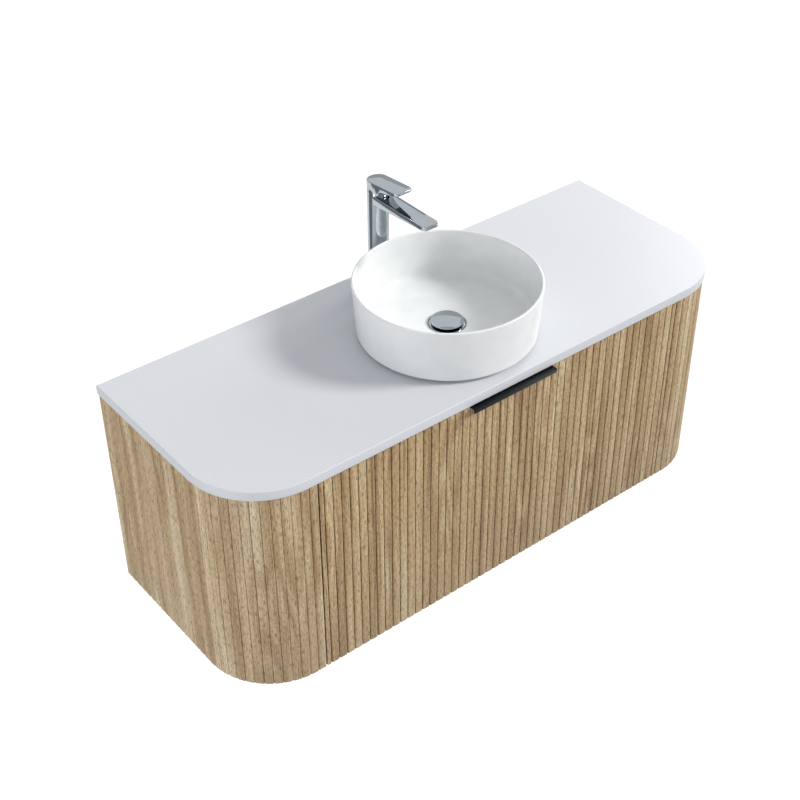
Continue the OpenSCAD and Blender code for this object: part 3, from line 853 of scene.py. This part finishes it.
def tap_column_and_spout():
    """The column on its foot ring, and the tapering spout with two grooves along its top."""
    edge_z = joint_z - 0.6 * MM
    foot_h = 3 * MM
    column = rounded([
        (17.2 * MM, 0, 0), (tap_foot_r, 0, 0.4 * MM), (tap_foot_r, foot_h, 0.9 * MM),
        (column_r, foot_h, 0.3 * MM), (column_r, edge_z, 0.6 * MM), (column_bore, edge_z, 0),
    ], 4)
    bm = bmesh.new()
    turned(bm, column, tap_foot, 128)
    column = finished("column", bm, finishes["chrome"], 28)
    corner = 10 * MM
    hook = 2 * MM
    straight = spout_reach - hook
    slot_start = 16.5 * MM
    slot_end = spout_reach * 0.76
    step = 0.1 * MM
    stops = [4 * MM, slot_start, slot_start + step, 50 * MM, 90 * MM, slot_end - step, slot_end, 140 * MM]
    stops += [spout_reach - corner + corner * math.sin(math.radians(7.5 * k)) for k in range(13)]
    sections = []
    for t in stops:
        sunk = 2.4 * MM if slot_start < t < slot_end else 0
        tip = max(0, t - straight) / hook
        under = spout_top - 19 * MM + 11 * MM * t / straight + 1.2 * MM * tip
        half = nose(t, spout_reach, spout_half, corner)
        sections.append(spout_section(-t, half, under, spout_top - 0.8 * MM * tip, sunk))
    bm = bmesh.new()
    lofted(bm, sections)
    spout = finished("spout", bm, finishes["chrome"], 28)
    bm = bmesh.new()
    bore_low = 100 * MM
    bore_high = 300 * MM
    bore = [(0, bore_low), (column_bore, bore_low), (column_bore, bore_high), (0, bore_high)]
    turned(bm, bore, tap_foot, 96, closed=False)
    spout = cut(spout, finished("bore", bm, finishes["chrome"]))
    made_for("tap_body", joined("tap_column_and_spout", [column, spout]))


def tap_dome():
    """The polished dome that closes the column under the lever."""
    top = joint_z + 5 * MM
    pivot = tap_pivot.z - tap_foot.z
    inner = column_bore + 0.1 * MM
    neck = 14.5 * MM
    ease = 0.4 * MM
    out = [(inner, joint_z), (column_r - ease, joint_z), (column_r, joint_z + ease)]
    for k in range(13):
        r = column_r + (neck - column_r) * k / 12
        out.append((r, pivot + math.sqrt(dome_r ** 2 - r ** 2)))
    out += [(neck, top), (inner, top - 3 * MM)]
    turned_piece("tap_dome", "tap_cap", out, tap_foot, 128, sharp=40)


tap_column_and_spout()
tap_dome()

# ---------- edge pull ----------


def edge_pull():
    """A bent sheet along the drawer's top edge, turned down at the front as a lip."""
    y_in = pull_high.y
    y_out = pull_low.y
    top = pull_high.z
    lip = top - pull_lip
    tail = pull_low.z
    lip_in = y_out + 2.5 * MM
    profile = rounded([
        (y_in, top, 0.4 * MM), (y_out, top, MM), (y_out, lip, 0.8 * MM), (lip_in, lip, 0.8 * MM),
        (lip_in, top - pull_sheet, 0.8 * MM), (y_in - pull_sheet, top - pull_sheet, 0.6 * MM),
        (y_in - pull_sheet, tail, 0.4 * MM), (y_in, tail, 0.4 * MM),
    ], 4)
    along_x = Matrix(((0, 0, 1, 0), (1, 0, 0, 0), (0, 1, 0, 0), (0, 0, 0, 1)))
    bm = bmesh.new()
    prism(bm, [profile], pull_low.x, pull_high.x, 0.4 * MM, 2, along_x)
    fitted("edge_pull_bar", "edge_pull", bm)


edge_pull()

# ---------- boards ----------


def solids_of(node):
    """The points of each separate solid in a CAD node."""
    bm = bmesh.new()
    bm.from_mesh(frame["nodes"][node].data)
    bm.transform(frame["nodes"][node].matrix_world)
    bmesh.ops.remove_doubles(bm, verts=bm.verts, dist=1e-6)
    seen = set()
    found = []
    for first in bm.verts:
        if first in seen:
            continue
        seen.add(first)
        reached = [first]
        for v in reached:
            fresh = [edge.other_vert(v) for edge in v.link_edges if edge.other_vert(v) not in seen]
            seen.update(fresh)
            reached.extend(fresh)
        found.append([v.co.copy() for v in reached])
    bm.free()
    return found


def corners_of(points):
    return [Vector([pick(p[k] for p in points) for k in range(3)]) for pick in (min, max)]


def board_grain(piece, along):
    """The foil's printed grain runs along X, Y or Z (0, 1 or 2)."""
    rest = [k for k in range(3) if k != along]
    grain_from(piece, lambda co: (co[along], co[rest[0]], co[rest[1]]))


def plain_boards(name, node, along, holes=()):
    """A node's boards with banded edges, eased arrises and round holes (u, v, radius) through them."""
    bm = bmesh.new()
    rounds = [arc(x, y, r, 0, 348.75, 31) for x, y, r in holes]
    for solid in solids_of(node):
        under, over = corners_of(solid)
        sizes = list(over - under)
        thin = sizes.index(min(sizes))
        u, v = [k for k in range(3) if k != thin]
        place = Matrix.Diagonal((0, 0, 0, 1))
        place[u][0] = place[v][1] = place[thin][2] = 1
        plan = [(under[u], under[v]), (over[u], under[v]), (over[u], over[v]), (under[u], over[v])]
        prism(bm, [plan] + rounds, under[thin], over[thin], 0.8 * MM, 3, place)
    piece = finished(name, bm, finishes["carcass_board"])
    board_grain(piece, along)
    made_for(node, piece)


def wall_holes(z):
    return [(x, z, wall_hole_r) for x in (-wall_hole_x, wall_hole_x)]


plain_boards("upper_rail_board", "back_rail_upper", 0, wall_holes(wall_hole_z))
plain_boards("lower_rail_board", "back_rail_lower", 0, wall_holes(-wall_hole_z))
plain_boards("left_gable_board", "gable_left", 1)
plain_boards("right_gable_board", "gable_right", 1)
plain_boards("stretcher_board", "front_stretcher", 0)
plain_boards("drawer_inner_board", "drawer_inner_front", 0)
plain_boards("drawer_left_board", "drawer_side_left", 1)
plain_boards("drawer_right_board", "drawer_side_right", 1)
plain_boards("drawer_rear_boards", "drawer_back_boards", 0)
plain_boards("recess_boards", "drawer_recess_boards", 1)


def bottom_board(name, node, plan):
    """A bottom of that plan, as thick as its node, with eased arrises."""
    under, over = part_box(node)
    bm = bmesh.new()
    prism(bm, [plan], under.z, over.z, 0.8 * MM, 3)
    piece = finished(name, bm, finishes["carcass_board"])
    board_grain(piece, 0)
    made_for(node, piece)


def bottoms():
    """The two bottoms: the cabinet's with round front corners, the drawer's round the recess."""
    under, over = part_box("cabinet_bottom")
    bottom_board("cabinet_floor_board", "cabinet_bottom", plan_of_top(over.x, -under.y, cab_r - board))
    under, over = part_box("drawer_bottom")
    recess_low, recess_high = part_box("drawer_recess_boards")
    recess_board = 15 * MM
    gap = recess_high.x - recess_board
    front = recess_low.y + recess_board
    bottom_board("drawer_floor_board", "drawer_bottom", [
        (under.x, under.y), (over.x, under.y), (over.x, over.y), (gap, over.y), (gap, front),
        (-gap, front), (-gap, over.y), (under.x, over.y),
    ])


bottoms()

# ---------- drawer runners ----------


def runner_member(name, node, web_side):
    """A rolled steel channel with round bends; web_side is +1 or -1 along X."""
    under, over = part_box(node)
    sheet = 1.2 * MM
    web, lip = (over.x, under.x) if web_side > 0 else (under.x, over.x)
    back = web - web_side * sheet
    profile = rounded([
        (web, under.z, 1.5 * MM), (web, over.z, 1.5 * MM), (lip, over.z, 0.3 * MM),
        (lip, over.z - sheet, 0.3 * MM), (back, over.z - sheet, 0.5 * MM),
        (back, under.z + sheet, 0.5 * MM), (lip, under.z + sheet, 0.3 * MM), (lip, under.z, 0.3 * MM),
    ], 4)
    upright = Matrix(((1, 0, 0, 0), (0, 0, 1, 0), (0, 1, 0, 0), (0, 0, 0, 1)))
    bm = bmesh.new()
    prism(bm, [profile], under.y, over.y, 0.2 * MM, 1, upright)
    fitted(name, node, bm)


for hand, side in (("left", -1), ("right", 1)):
    runner_member(f"fixed_rail_{hand}", f"runner_cabinet_{hand}", side)
    runner_member(f"carrier_rail_{hand}", f"runner_middle_{hand}", side)
    runner_member(f"drawer_rail_{hand}", f"runner_drawer_{hand}", -side)

# ---------- screws ----------


def screw_set_tree():
    """Sets copies of one screw on the piece's points, each facing its way and spun at random."""
    tree, given = new_group(
        "screw_set", "Screws", Places="Geometry", Screw="Object", Seed="Int", Finish="Material"
    )
    screw = add(tree, "GeometryNodeObjectInfo", {"Object": given["Screw"]}).outputs["Geometry"]
    turn = add(tree, "GeometryNodeInputNamedAttribute", {"Name": "turn"}, data_type="FLOAT_VECTOR")
    way = add(tree, "FunctionNodeEulerToRotation", {0: turn})
    spin = add(
        tree, "FunctionNodeRandomValue", {"Min": (0, 0, 0), "Max": (0, 0, math.tau), "Seed": given["Seed"]},
        data_type="FLOAT_VECTOR",
    )
    copies = add(
        tree, "GeometryNodeInstanceOnPoints",
        {"Points": given["Places"], "Instance": screw, "Rotation": way},
    )
    copies = add(tree, "GeometryNodeRotateInstances", {"Instances": copies, "Rotation": spin})
    solid = add(tree, "GeometryNodeRealizeInstances", {0: copies})
    solid = add(tree, "GeometryNodeSetMaterial", {"Geometry": solid, "Material": given["Finish"]})
    add(tree, "NodeGroupOutput", {0: solid})
    return tree


screw_set = screw_set_tree()


def pan_screw(length, head_r, head_t, finish):
    """A pan-head screw with a cross recess; its head stands up from z = 0."""
    shaft = head_r / 2
    crown = arc(head_r - 0.9 * head_t, 0.1 * head_t, 0.9 * head_t, 0, 84, 6)
    out = [(0, -length), (0.3 * shaft, -length), (shaft, -length + 1.6 * shaft), (shaft, 0), (head_r, 0)]
    bm = bmesh.new()
    turned(bm, out + crown + [(0, head_t)], Vector(), 32, closed=False)
    whole = finished("screw", bm, finish, 40)
    a = 0.13 * head_r
    b = 0.55 * head_r
    quarter = [(b, -a), (b, a), (a, a)]
    cross = []
    for k in range(4):
        turn = Matrix.Rotation(k * math.pi / 2, 2)
        cross += [tuple(turn @ Vector(p)) for p in quarter]
    bm = bmesh.new()
    prism(bm, [cross], 0.35 * head_t, 2 * head_t, 0)
    return cut(whole, finished("cross_recess", bm, finish))


def screws(name, node, seed):
    """Screws where the CAD has them, with their heads on the same side."""
    head_t = 1.6 * MM
    points = []
    turns = []
    for solid in solids_of(node):
        under, over = corners_of(solid)
        middle = (under + over) / 2
        sizes = list(over - under)
        length = max(sizes)
        head_r = min(sizes) / 2
        along = sizes.index(length)
        at_top = [p for p in solid if p[along] > over[along] - 0.01 * MM]
        wide = max(p[along - 1] - middle[along - 1] for p in at_top)
        way = Vector([(k == along) * (1 if wide > 0.8 * head_r else -1) for k in range(3)])
        points.append(middle + way * (length / 2 - head_t))
        turns.append(way.to_track_quat("Z", "Y").to_euler())
    mesh = bpy.data.meshes.new(name)
    mesh.from_pydata(points, [], [])
    store = mesh.attributes.new("turn", "FLOAT_VECTOR", "POINT")
    for turn, mark in zip(turns, store.data):
        mark.vector = turn
    piece = bpy.data.objects.new(name, mesh)
    bpy.context.scene.collection.objects.link(piece)
    finish = finishes[slot_of[node]]
    one = pan_screw(length - head_t, head_r, head_t, finish)
    grown(piece, screw_set, {"Screw": one, "Seed": seed, "Finish": finish})
    bpy.data.objects.remove(one)
    made_for(node, piece)


screws("front_fixing_screws", "drawer_front_screws", 3)
screws("pull_fixing_screws", "edge_pull_screws", 5)
screws("fixed_rail_screws", "runner_cabinet_screws", 7)
screws("drawer_rail_screws", "runner_drawer_screws", 11)

# ---------- bottle trap ----------

trap_axis = Vector((0, basin_y, 0))
outlet_low, outlet_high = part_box("trap_outlet_pipe")
outlet_axis = Vector((0, basin_y, (outlet_low.z + outlet_high.z) / 2))
to_wall = Matrix.Rotation(-math.pi / 2, 4, "X")
away = Matrix.Rotation(math.pi / 2, 4, "X")
trap_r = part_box("trap_head")[1].x
pipe_in = pipe_r - 1.5 * MM
pipe_fit = pipe_r + slip
branch_r = pipe_r + 4 * MM


def ribbed(r, ribs, depth):
    """A nut's outline: a circle with shallow round grip ribs."""
    out = []
    for k in range(ribs * 8):
        a = math.tau * k / (ribs * 8)
        bulge = r - depth * (0.5 - 0.5 * math.cos(ribs * a)) ** 2
        out.append((bulge * math.cos(a), bulge * math.sin(a)))
    return out


def coupling_nut(name, node, stretches, place):
    """A slip nut in stretches (start, end, bore, ribbed or plain)."""
    bm = bmesh.new()
    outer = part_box(node)[1].x
    for start, end, bore, ribs in stretches:
        outline = ribbed(outer, 28, 0.9 * MM) if ribs else arc(0, 0, outer, 0, 357.1875, 127)
        prism(bm, [outline, arc(0, 0, bore, 0, 354.375, 63)], start, end, 0.6 * MM, 3, place)
    fitted(name, node, bm)


def coupling_nuts():
    under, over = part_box("trap_inlet_nut")
    lip = under.z + 5 * MM
    collar = over.z - 4 * MM
    coupling_nut("inlet_coupling_nut", "trap_inlet_nut", [
        (under.z, lip, pipe_fit, True), (lip, collar, waste_r + slip, True),
        (collar, over.z, waste_r + slip, False),
    ], Matrix.Translation(trap_axis))
    under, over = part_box("trap_outlet_nut")
    start = under.y - basin_y
    end = over.y - basin_y
    coupling_nut("outlet_coupling_nut", "trap_outlet_nut", [
        (start, start + 4 * MM, branch_r + slip, False),
        (start + 4 * MM, end - 8 * MM, branch_r + slip, True), (end - 8 * MM, end, pipe_fit, True),
    ], Matrix.Translation(outlet_axis) @ to_wall)


def dip_tube():
    """The tail that hangs in the bottle, with its flange on top."""
    under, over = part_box("trap_dip_tube")
    flange = over.z - 4 * MM
    rim = over.z - 0.1 * MM
    turned_piece("dip_tube", "trap_dip_tube", rounded([
        (pipe_in, under.z, 0.3 * MM), (pipe_r, under.z, 0.6 * MM), (pipe_r, flange, 0.8 * MM),
        (over.x, flange, 0.8 * MM), (over.x, rim, 0.5 * MM), (pipe_in, rim, 0.3 * MM),
    ], 3), trap_axis, 64)


def trap_bell():
    """The trap's head with its round shoulder and the branch to the wall."""
    under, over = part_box("trap_head")
    inner = 26 * MM
    ceiling = over.z - 8 * MM
    seat = over.z - MM
    bell = rounded([
        (inner, under.z, 0.3 * MM), (trap_r, under.z, 0.8 * MM), (trap_r, over.z, 7 * MM),
        (pipe_r + 3 * MM, over.z, MM), (pipe_r + 2 * MM, seat, 0.5 * MM), (pipe_fit, seat, 0.3 * MM),
        (pipe_fit, ceiling, 0), (inner, ceiling, 2 * MM),
    ], 6)
    bm = bmesh.new()
    turned(bm, bell, trap_axis, 96)
    end = over.y - basin_y
    root_r = branch_r - 0.8 * MM
    branch = rounded([
        (pipe_fit, end - 28 * MM, 0), (branch_r, end - 34 * MM, 0), (branch_r, end - 15 * MM, 0.4 * MM),
        (root_r, end - 14.5 * MM, 0.2 * MM), (root_r, end, 0.6 * MM), (pipe_fit, end, 0.5 * MM),
    ], 4)
    turned(bm, branch, outlet_axis, 96, to_wall)
    fitted("trap_bell", "trap_head", bm)


def trap_bottle():
    """The screw-off cup, with five grip rings below its neck."""
    under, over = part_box("trap_cup")
    z = under.z
    neck = over.z - 16 * MM
    neck_r = over.x - 4.05 * MM
    inner = 23.5 * MM
    grip_r = trap_r - 0.7 * MM
    bend = 9 * MM
    cup = [(0, z), (trap_r - 10 * MM, z)] + arc(trap_r - bend, z + bend, bend, -84, 0, 12)
    for k in reversed(range(5)):
        top = neck - 6 * MM - k * 3 * MM
        cup += [(trap_r, top - 2 * MM), (grip_r, top - 1.3 * MM), (grip_r, top - 0.7 * MM), (trap_r, top)]
    cup += [
        (trap_r, neck - 0.6 * MM), (trap_r - 0.6 * MM, neck), (neck_r, neck), (neck_r, over.z),
        (inner, over.z), (inner, z + 8 * MM), (inner - 4 * MM, z + 4 * MM), (0, z + 4 * MM),
    ]
    turned_piece("trap_bottle", "trap_cup", cup, trap_axis, closed=False)


def outlet_tube():
    """The pipe to the wall; a shallow groove marks where its free end starts."""
    start = outlet_low.y - basin_y
    end = outlet_high.y - basin_y
    wall = -basin_y
    mark_r = pipe_r - 0.5 * MM
    turned_piece("outlet_tube", "trap_outlet_pipe", rounded([
        (pipe_in, start, 0.4 * MM), (pipe_r, start, 0.6 * MM), (pipe_r, wall, 0.2 * MM),
        (mark_r, wall + 0.3 * MM, 0.2 * MM), (mark_r, wall + 1.7 * MM, 0.2 * MM),
        (pipe_r, wall + 2 * MM, 0.2 * MM), (pipe_r, end, 0.6 * MM), (pipe_in, end, 0.4 * MM),
    ], 3), outlet_axis, axis=to_wall)


def wall_rose():
    """The spun cover plate, an ogee from its rim up to the pipe."""
    under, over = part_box("trap_wall_plate")
    r = over.x
    rise = over.y - under.y
    rim_h = 0.9 * MM
    rim = [(pipe_fit, 0), (r - 0.4 * MM, 0), (r, 0.4 * MM)]
    for k in range(25):
        q = k / 24
        ogee = 0.5 - 0.5 * math.cos(math.pi * q)
        rim.append((r - 0.6 * MM - (r - pipe_r - 1.4 * MM) * q, rim_h + (rise - rim_h) * ogee ** 1.4))
    rim.append((pipe_fit, rise))
    turned_piece("wall_rose", "trap_wall_plate", rim, Vector((0, over.y, outlet_axis.z)), axis=away)


coupling_nuts()
dip_tube()
trap_bell()
trap_bottle()
outlet_tube()
wall_rose()

# ---------- tap lever, aerator and fixings ----------


def lever_levels(reach, peak):
    """The blade's edge from its underside to its top as (height at y, way, inset, drop)."""
    heel = 38 * MM
    crease = [(-1, 18 * MM), (18 * MM, 18 * MM), (22 * MM, 21 * MM), (36 * MM, 30 * MM)]
    crease.append((reach, peak - 5.5 * MM))

    def over(y):
        return heel - (peak - heel) * y / reach

    def under(y):
        for (t0, z0), (t1, z1) in zip(crease, crease[1:]):
            if -y <= t1:
                return z0 + (z1 - z0) * (-y - t0) / (t1 - t0)
        return crease[-1][1]

    turns = [math.pi / 8 * k for k in range(5)]
    levels = [(under, 1, 0.8 * MM * (1 - math.sin(a)), 0.8 * MM * (1 - math.cos(a))) for a in turns]
    levels += [(over, -1, 1.1 * MM * (1 - math.cos(a)), 1.1 * MM * (1 - math.sin(a))) for a in turns]
    return levels


def lever_blade():
    """A flat lever: round behind, a thin rising blade ahead, hollow over the dome."""
    pivot = tap_pivot
    lever_low, lever_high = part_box("tap_lever")
    reach = tap_y - lever_low.y
    half = lever_high.x
    corner = 9 * MM
    side = arc(0, 0, half, 90, 0, 20)
    side += [(half, -t * MM) for t in (9, 18, 22, 29, 36, 50)]
    side += arc(half - corner, corner - reach, corner, 0, -90, 10)
    side.append((0, -reach))
    outline = side + [(-x, y) for x, y in side[-2:0:-1]]
    bm = bmesh.new()
    rings = []
    for height, way, inset, drop in lever_levels(reach, lever_high.z - pivot.z):
        loop = moved_in(outline, -inset) if inset > 1e-9 else outline
        rings.append([bm.verts.new(pivot + Vector((x, y, height(y) + way * drop))) for x, y in loop])
    for a, b in zip(rings, rings[1:]):
        for i in range(len(outline)):
            j = (i + 1) % len(outline)
            bm.faces.new((a[i], a[j], b[j], b[i]))
    for ring in (rings[0], rings[-1]):
        for i in range(len(side) - 1):
            strip = [ring[i], ring[i + 1], ring[-i - 1], ring[-i]]
            bm.faces.new(list(dict.fromkeys(strip)))
    blade = finished("lever_blade", bm, finishes["chrome"])
    bm = bmesh.new()
    bmesh.ops.create_uvsphere(bm, u_segments=96, v_segments=48, radius=dome_r + 0.4 * MM)
    bm.transform(Matrix.Translation(pivot))
    hollow = finished("hollow", bm, finishes["chrome"])
    # A square socket for the spindle, and the set screw's hole from behind.
    half = 3.55 * MM
    socket = [(-half, -half), (half, -half), (half, half), (-half, half)]
    screw_hole = [(0, 3 * MM), (2 * MM, 3 * MM), (2 * MM, 30 * MM), (0, 30 * MM)]
    bm = bmesh.new()
    prism(bm, [socket], 10 * MM, dome_r + 4.6 * MM, 0, place=Matrix.Translation(pivot))
    turned(bm, screw_hole, pivot + Vector((0, 0, dome_r + 2.6 * MM)), 32, to_wall, closed=False)
    made_for("tap_lever", cut(blade, hollow, finished("socket", bm, finishes["chrome"])))


def hexagon(corner):
    return [(corner * math.cos(k * math.pi / 3), corner * math.sin(k * math.pi / 3)) for k in range(6)]


def grub_screw():
    """The lever's set screw, with a hexagon socket facing back."""
    under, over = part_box("tap_lever_screw")
    axis = Vector((0, 0, (under.z + over.z) / 2))
    r = over.x
    point = 0.5 * MM
    ease = 0.3 * MM
    shank = [
        (0, under.y), (r - point, under.y), (r, under.y + point), (r, over.y - ease), (r - ease, over.y),
        (0, over.y),
    ]
    bm = bmesh.new()
    turned(bm, shank, axis, 32, to_wall, closed=False)
    screw = finished("lever_grub_screw", bm, finishes[slot_of["tap_lever_screw"]])
    bm = bmesh.new()
    place = Matrix.Translation(axis) @ to_wall
    prism(bm, [hexagon(0.9 * MM)], over.y - 2 * MM, over.y + MM, 0, place=place)
    made_for("tap_lever_screw", cut(screw, finished("key", bm, finishes["chrome"])))


def aerator():
    """The honeycomb insert under the spout's nose."""
    under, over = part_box("tap_aerator")
    centre = Matrix.Translation(Vector((0, (under.y + over.y) / 2, 0)))
    loops = [arc(0, 0, over.x, 0, 354.375, 63)]
    for ring_r, count in ((0, 1), (3.5 * MM, 6), (6.7 * MM, 12)):
        for k in range(count):
            a = math.tau * k / count
            loops.append(arc(ring_r * math.cos(a), ring_r * math.sin(a), 1.3 * MM, 0, 330, 11))
    bm = bmesh.new()
    prism(bm, loops, under.z, over.z, 0.15 * MM, 1, centre)
    fitted("aerator_insert", "tap_aerator", bm)


def hexagon_nut(name, node, across, bore, centre):
    under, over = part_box(node)
    flats = rounded([(x, y, 0.5 * MM) for x, y in hexagon(across / 2 / math.cos(math.pi / 6))], 3)
    hole = arc(0, 0, bore + slip, 0, 352.5, 47)
    bm = bmesh.new()
    prism(bm, [flats, hole], under.z, over.z, 0.7 * MM, 3, Matrix.Translation(centre))
    fitted(name, node, bm)


def threaded_stud():
    """The tap's fixing stud with its thread."""
    under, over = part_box("tap_stud")
    root_r = over.x - 0.6 * MM
    crest_r = over.x - 0.02 * MM
    pitch = 1.25 * MM
    out = [(0, under.z), (root_r, under.z)]
    z = under.z + 0.6 * MM
    while z < over.z - pitch:
        out += [(root_r, z), (crest_r, z + 0.45 * pitch), (crest_r, z + 0.55 * pitch)]
        z += pitch
    out += [(root_r, z), (root_r, over.z), (0, over.z)]
    turned_piece("threaded_stud", "tap_stud", out, Vector((0, stud_y, 0)), 32, closed=False)


lever_blade()
grub_screw()
aerator()
hexagon_nut("waste_lock_nut", "waste_back_nut", 56 * MM, waste_r, trap_axis)
hexagon_nut("stud_lock_nut", "tap_stud_nut", 13 * MM, 4 * MM, Vector((0, stud_y, 0)))
threaded_stud()

# ---------- studio ----------


def placed(name, data):
    """An object for a light or the camera."""
    holder = bpy.data.objects.new(name, data)
    bpy.context.scene.collection.objects.link(holder)
    return holder


def studio():
    size = 40
    drop = 2.2
    corners = [(-size, -size), (size, -size), (size, size), (-size, size)]
    bm = bmesh.new()
    bm.faces.new([bm.verts.new((x, y, cad_box[0].z - drop)) for x, y in corners])
    # Matt painted studio floor: pale, with a faint roller texture.
    paint = mottled(
        "floor_paint", "#FEFEFE", "#FFFFFF", (0.3,) * 3, (0.9, 1.0), 0.0, Emission_Strength=0.08,
        Emission_Color=(1, 1, 1, 1),
    )
    floor = finished("studio_floor", bm, paint, merge=False)
    # The sky gives the light from below, so that upright faces keep their own shade.
    floor.visible_diffuse = False


def soft_light(name, power, size, place, aim):
    lamp = bpy.data.lights.new(name, "AREA")
    lamp.shape = "RECTANGLE"
    lamp.size, lamp.size_y = size
    lamp.energy = power
    holder = placed(name, lamp)
    holder.location = place
    holder.rotation_euler = (Vector(aim) - Vector(place)).to_track_quat("-Z", "Y").to_euler()
    holder.visible_camera = False


def seen_from(azimuth, elevation):
    """The way out to that direction in degrees; azimuth 0 is in front, 90 to the right."""
    a = math.radians(azimuth)
    e = math.radians(elevation)
    return Vector((math.sin(a) * math.cos(e), -math.cos(a) * math.cos(e), math.sin(e)))


def soft_sun(strength, azimuth, elevation, softness, tint):
    """An even light from far away."""
    lamp = bpy.data.lights.new("even_key", "SUN")
    lamp.energy = strength
    lamp.angle = math.radians(softness)
    lamp.color = colour(tint)[:3]
    holder = placed("even_key", lamp)
    holder.rotation_euler = seen_from(azimuth, elevation).to_track_quat("Z", "Y").to_euler()


grey_felt = mottled("grey_felt", "#6E7073", "#7A7C80", (0.01,) * 3, (0.9, 1.0), 0.0)


def flag(name, start, end):
    """A grey felt screen that only the polished metal sees, as beside any shiny piece."""
    foot = -2
    head = 0.5
    corners = [(*start, foot), (*end, foot), (*end, head), (*start, head)]
    bm = bmesh.new()
    bm.faces.new([bm.verts.new(c) for c in corners])
    screen = finished(name, bm, grey_felt, merge=False)
    screen.visible_camera = False
    screen.visible_diffuse = False
    screen.visible_shadow = False


def sky():
    world = bpy.data.worlds.new("soft_studio")
    bpy.context.scene.world = world
    world.use_nodes = True
    tree = world.node_tree
    tree.nodes.clear()
    way = add(tree, "ShaderNodeTexCoord").outputs["Generated"]
    up = add(tree, "ShaderNodeSeparateXYZ", {0: way}).outputs[2]
    level = add(tree, "ShaderNodeMapRange", {0: up, 1: -1})
    tone = add(
        tree, "ShaderNodeValToRGB", {0: level},
        stops=((0, "#A9AAAC"), (0.35, "#ADAFB2"), (0.5, "#C3C5C9"), (1, "#DADBDE")),
    )
    light = add(tree, "ShaderNodeBackground", {"Color": tone, "Strength": 0.85})
    add(tree, "ShaderNodeOutputWorld", {0: light})


def camera():
    distance = 2.877
    roll = -0.0058
    aim = Vector((-0.041, -0.1713, 0.040))
    back = seen_from(-38.36, 37.45)
    level = Vector((0, 0, 1)).cross(back).normalized()
    upright = back.cross(level)
    right = level * math.cos(roll) + upright * math.sin(roll)
    over = upright * math.cos(roll) - level * math.sin(roll)
    lens = bpy.data.cameras.new("camera")
    lens.lens = 65
    lens.clip_end = 200
    eye = placed("camera", lens)
    turn = Matrix((right, over, back)).transposed().to_4x4()
    eye.matrix_world = Matrix.Translation(aim + back * distance) @ turn
    bpy.context.scene.camera = eye


studio()
soft_sun(2.5, 52.4, 33.5, 15, "#FFFEFC")
soft_light("side_box", 16, (0.8, 0.8), (2.2, 0.5, 1.3), (0.3, -0.2, 0.2))
soft_light("left_fill", 33, (2.0, 1.6), (-2.9, -0.7, 0.1), (-0.6, -0.2, 0.0))
soft_light("back_box", 2.5, (1.6, 1.6), (1.5, 1.9, 2.1), (0, -0.1, 0.4))
flag("left_flag", (-0.9, 1.0), (-1.9, -0.3))
flag("right_flag", (1.9, 0.2), (0.9, 1.6))
sky()
camera()
bpy.context.scene.view_settings.view_transform = "Standard"
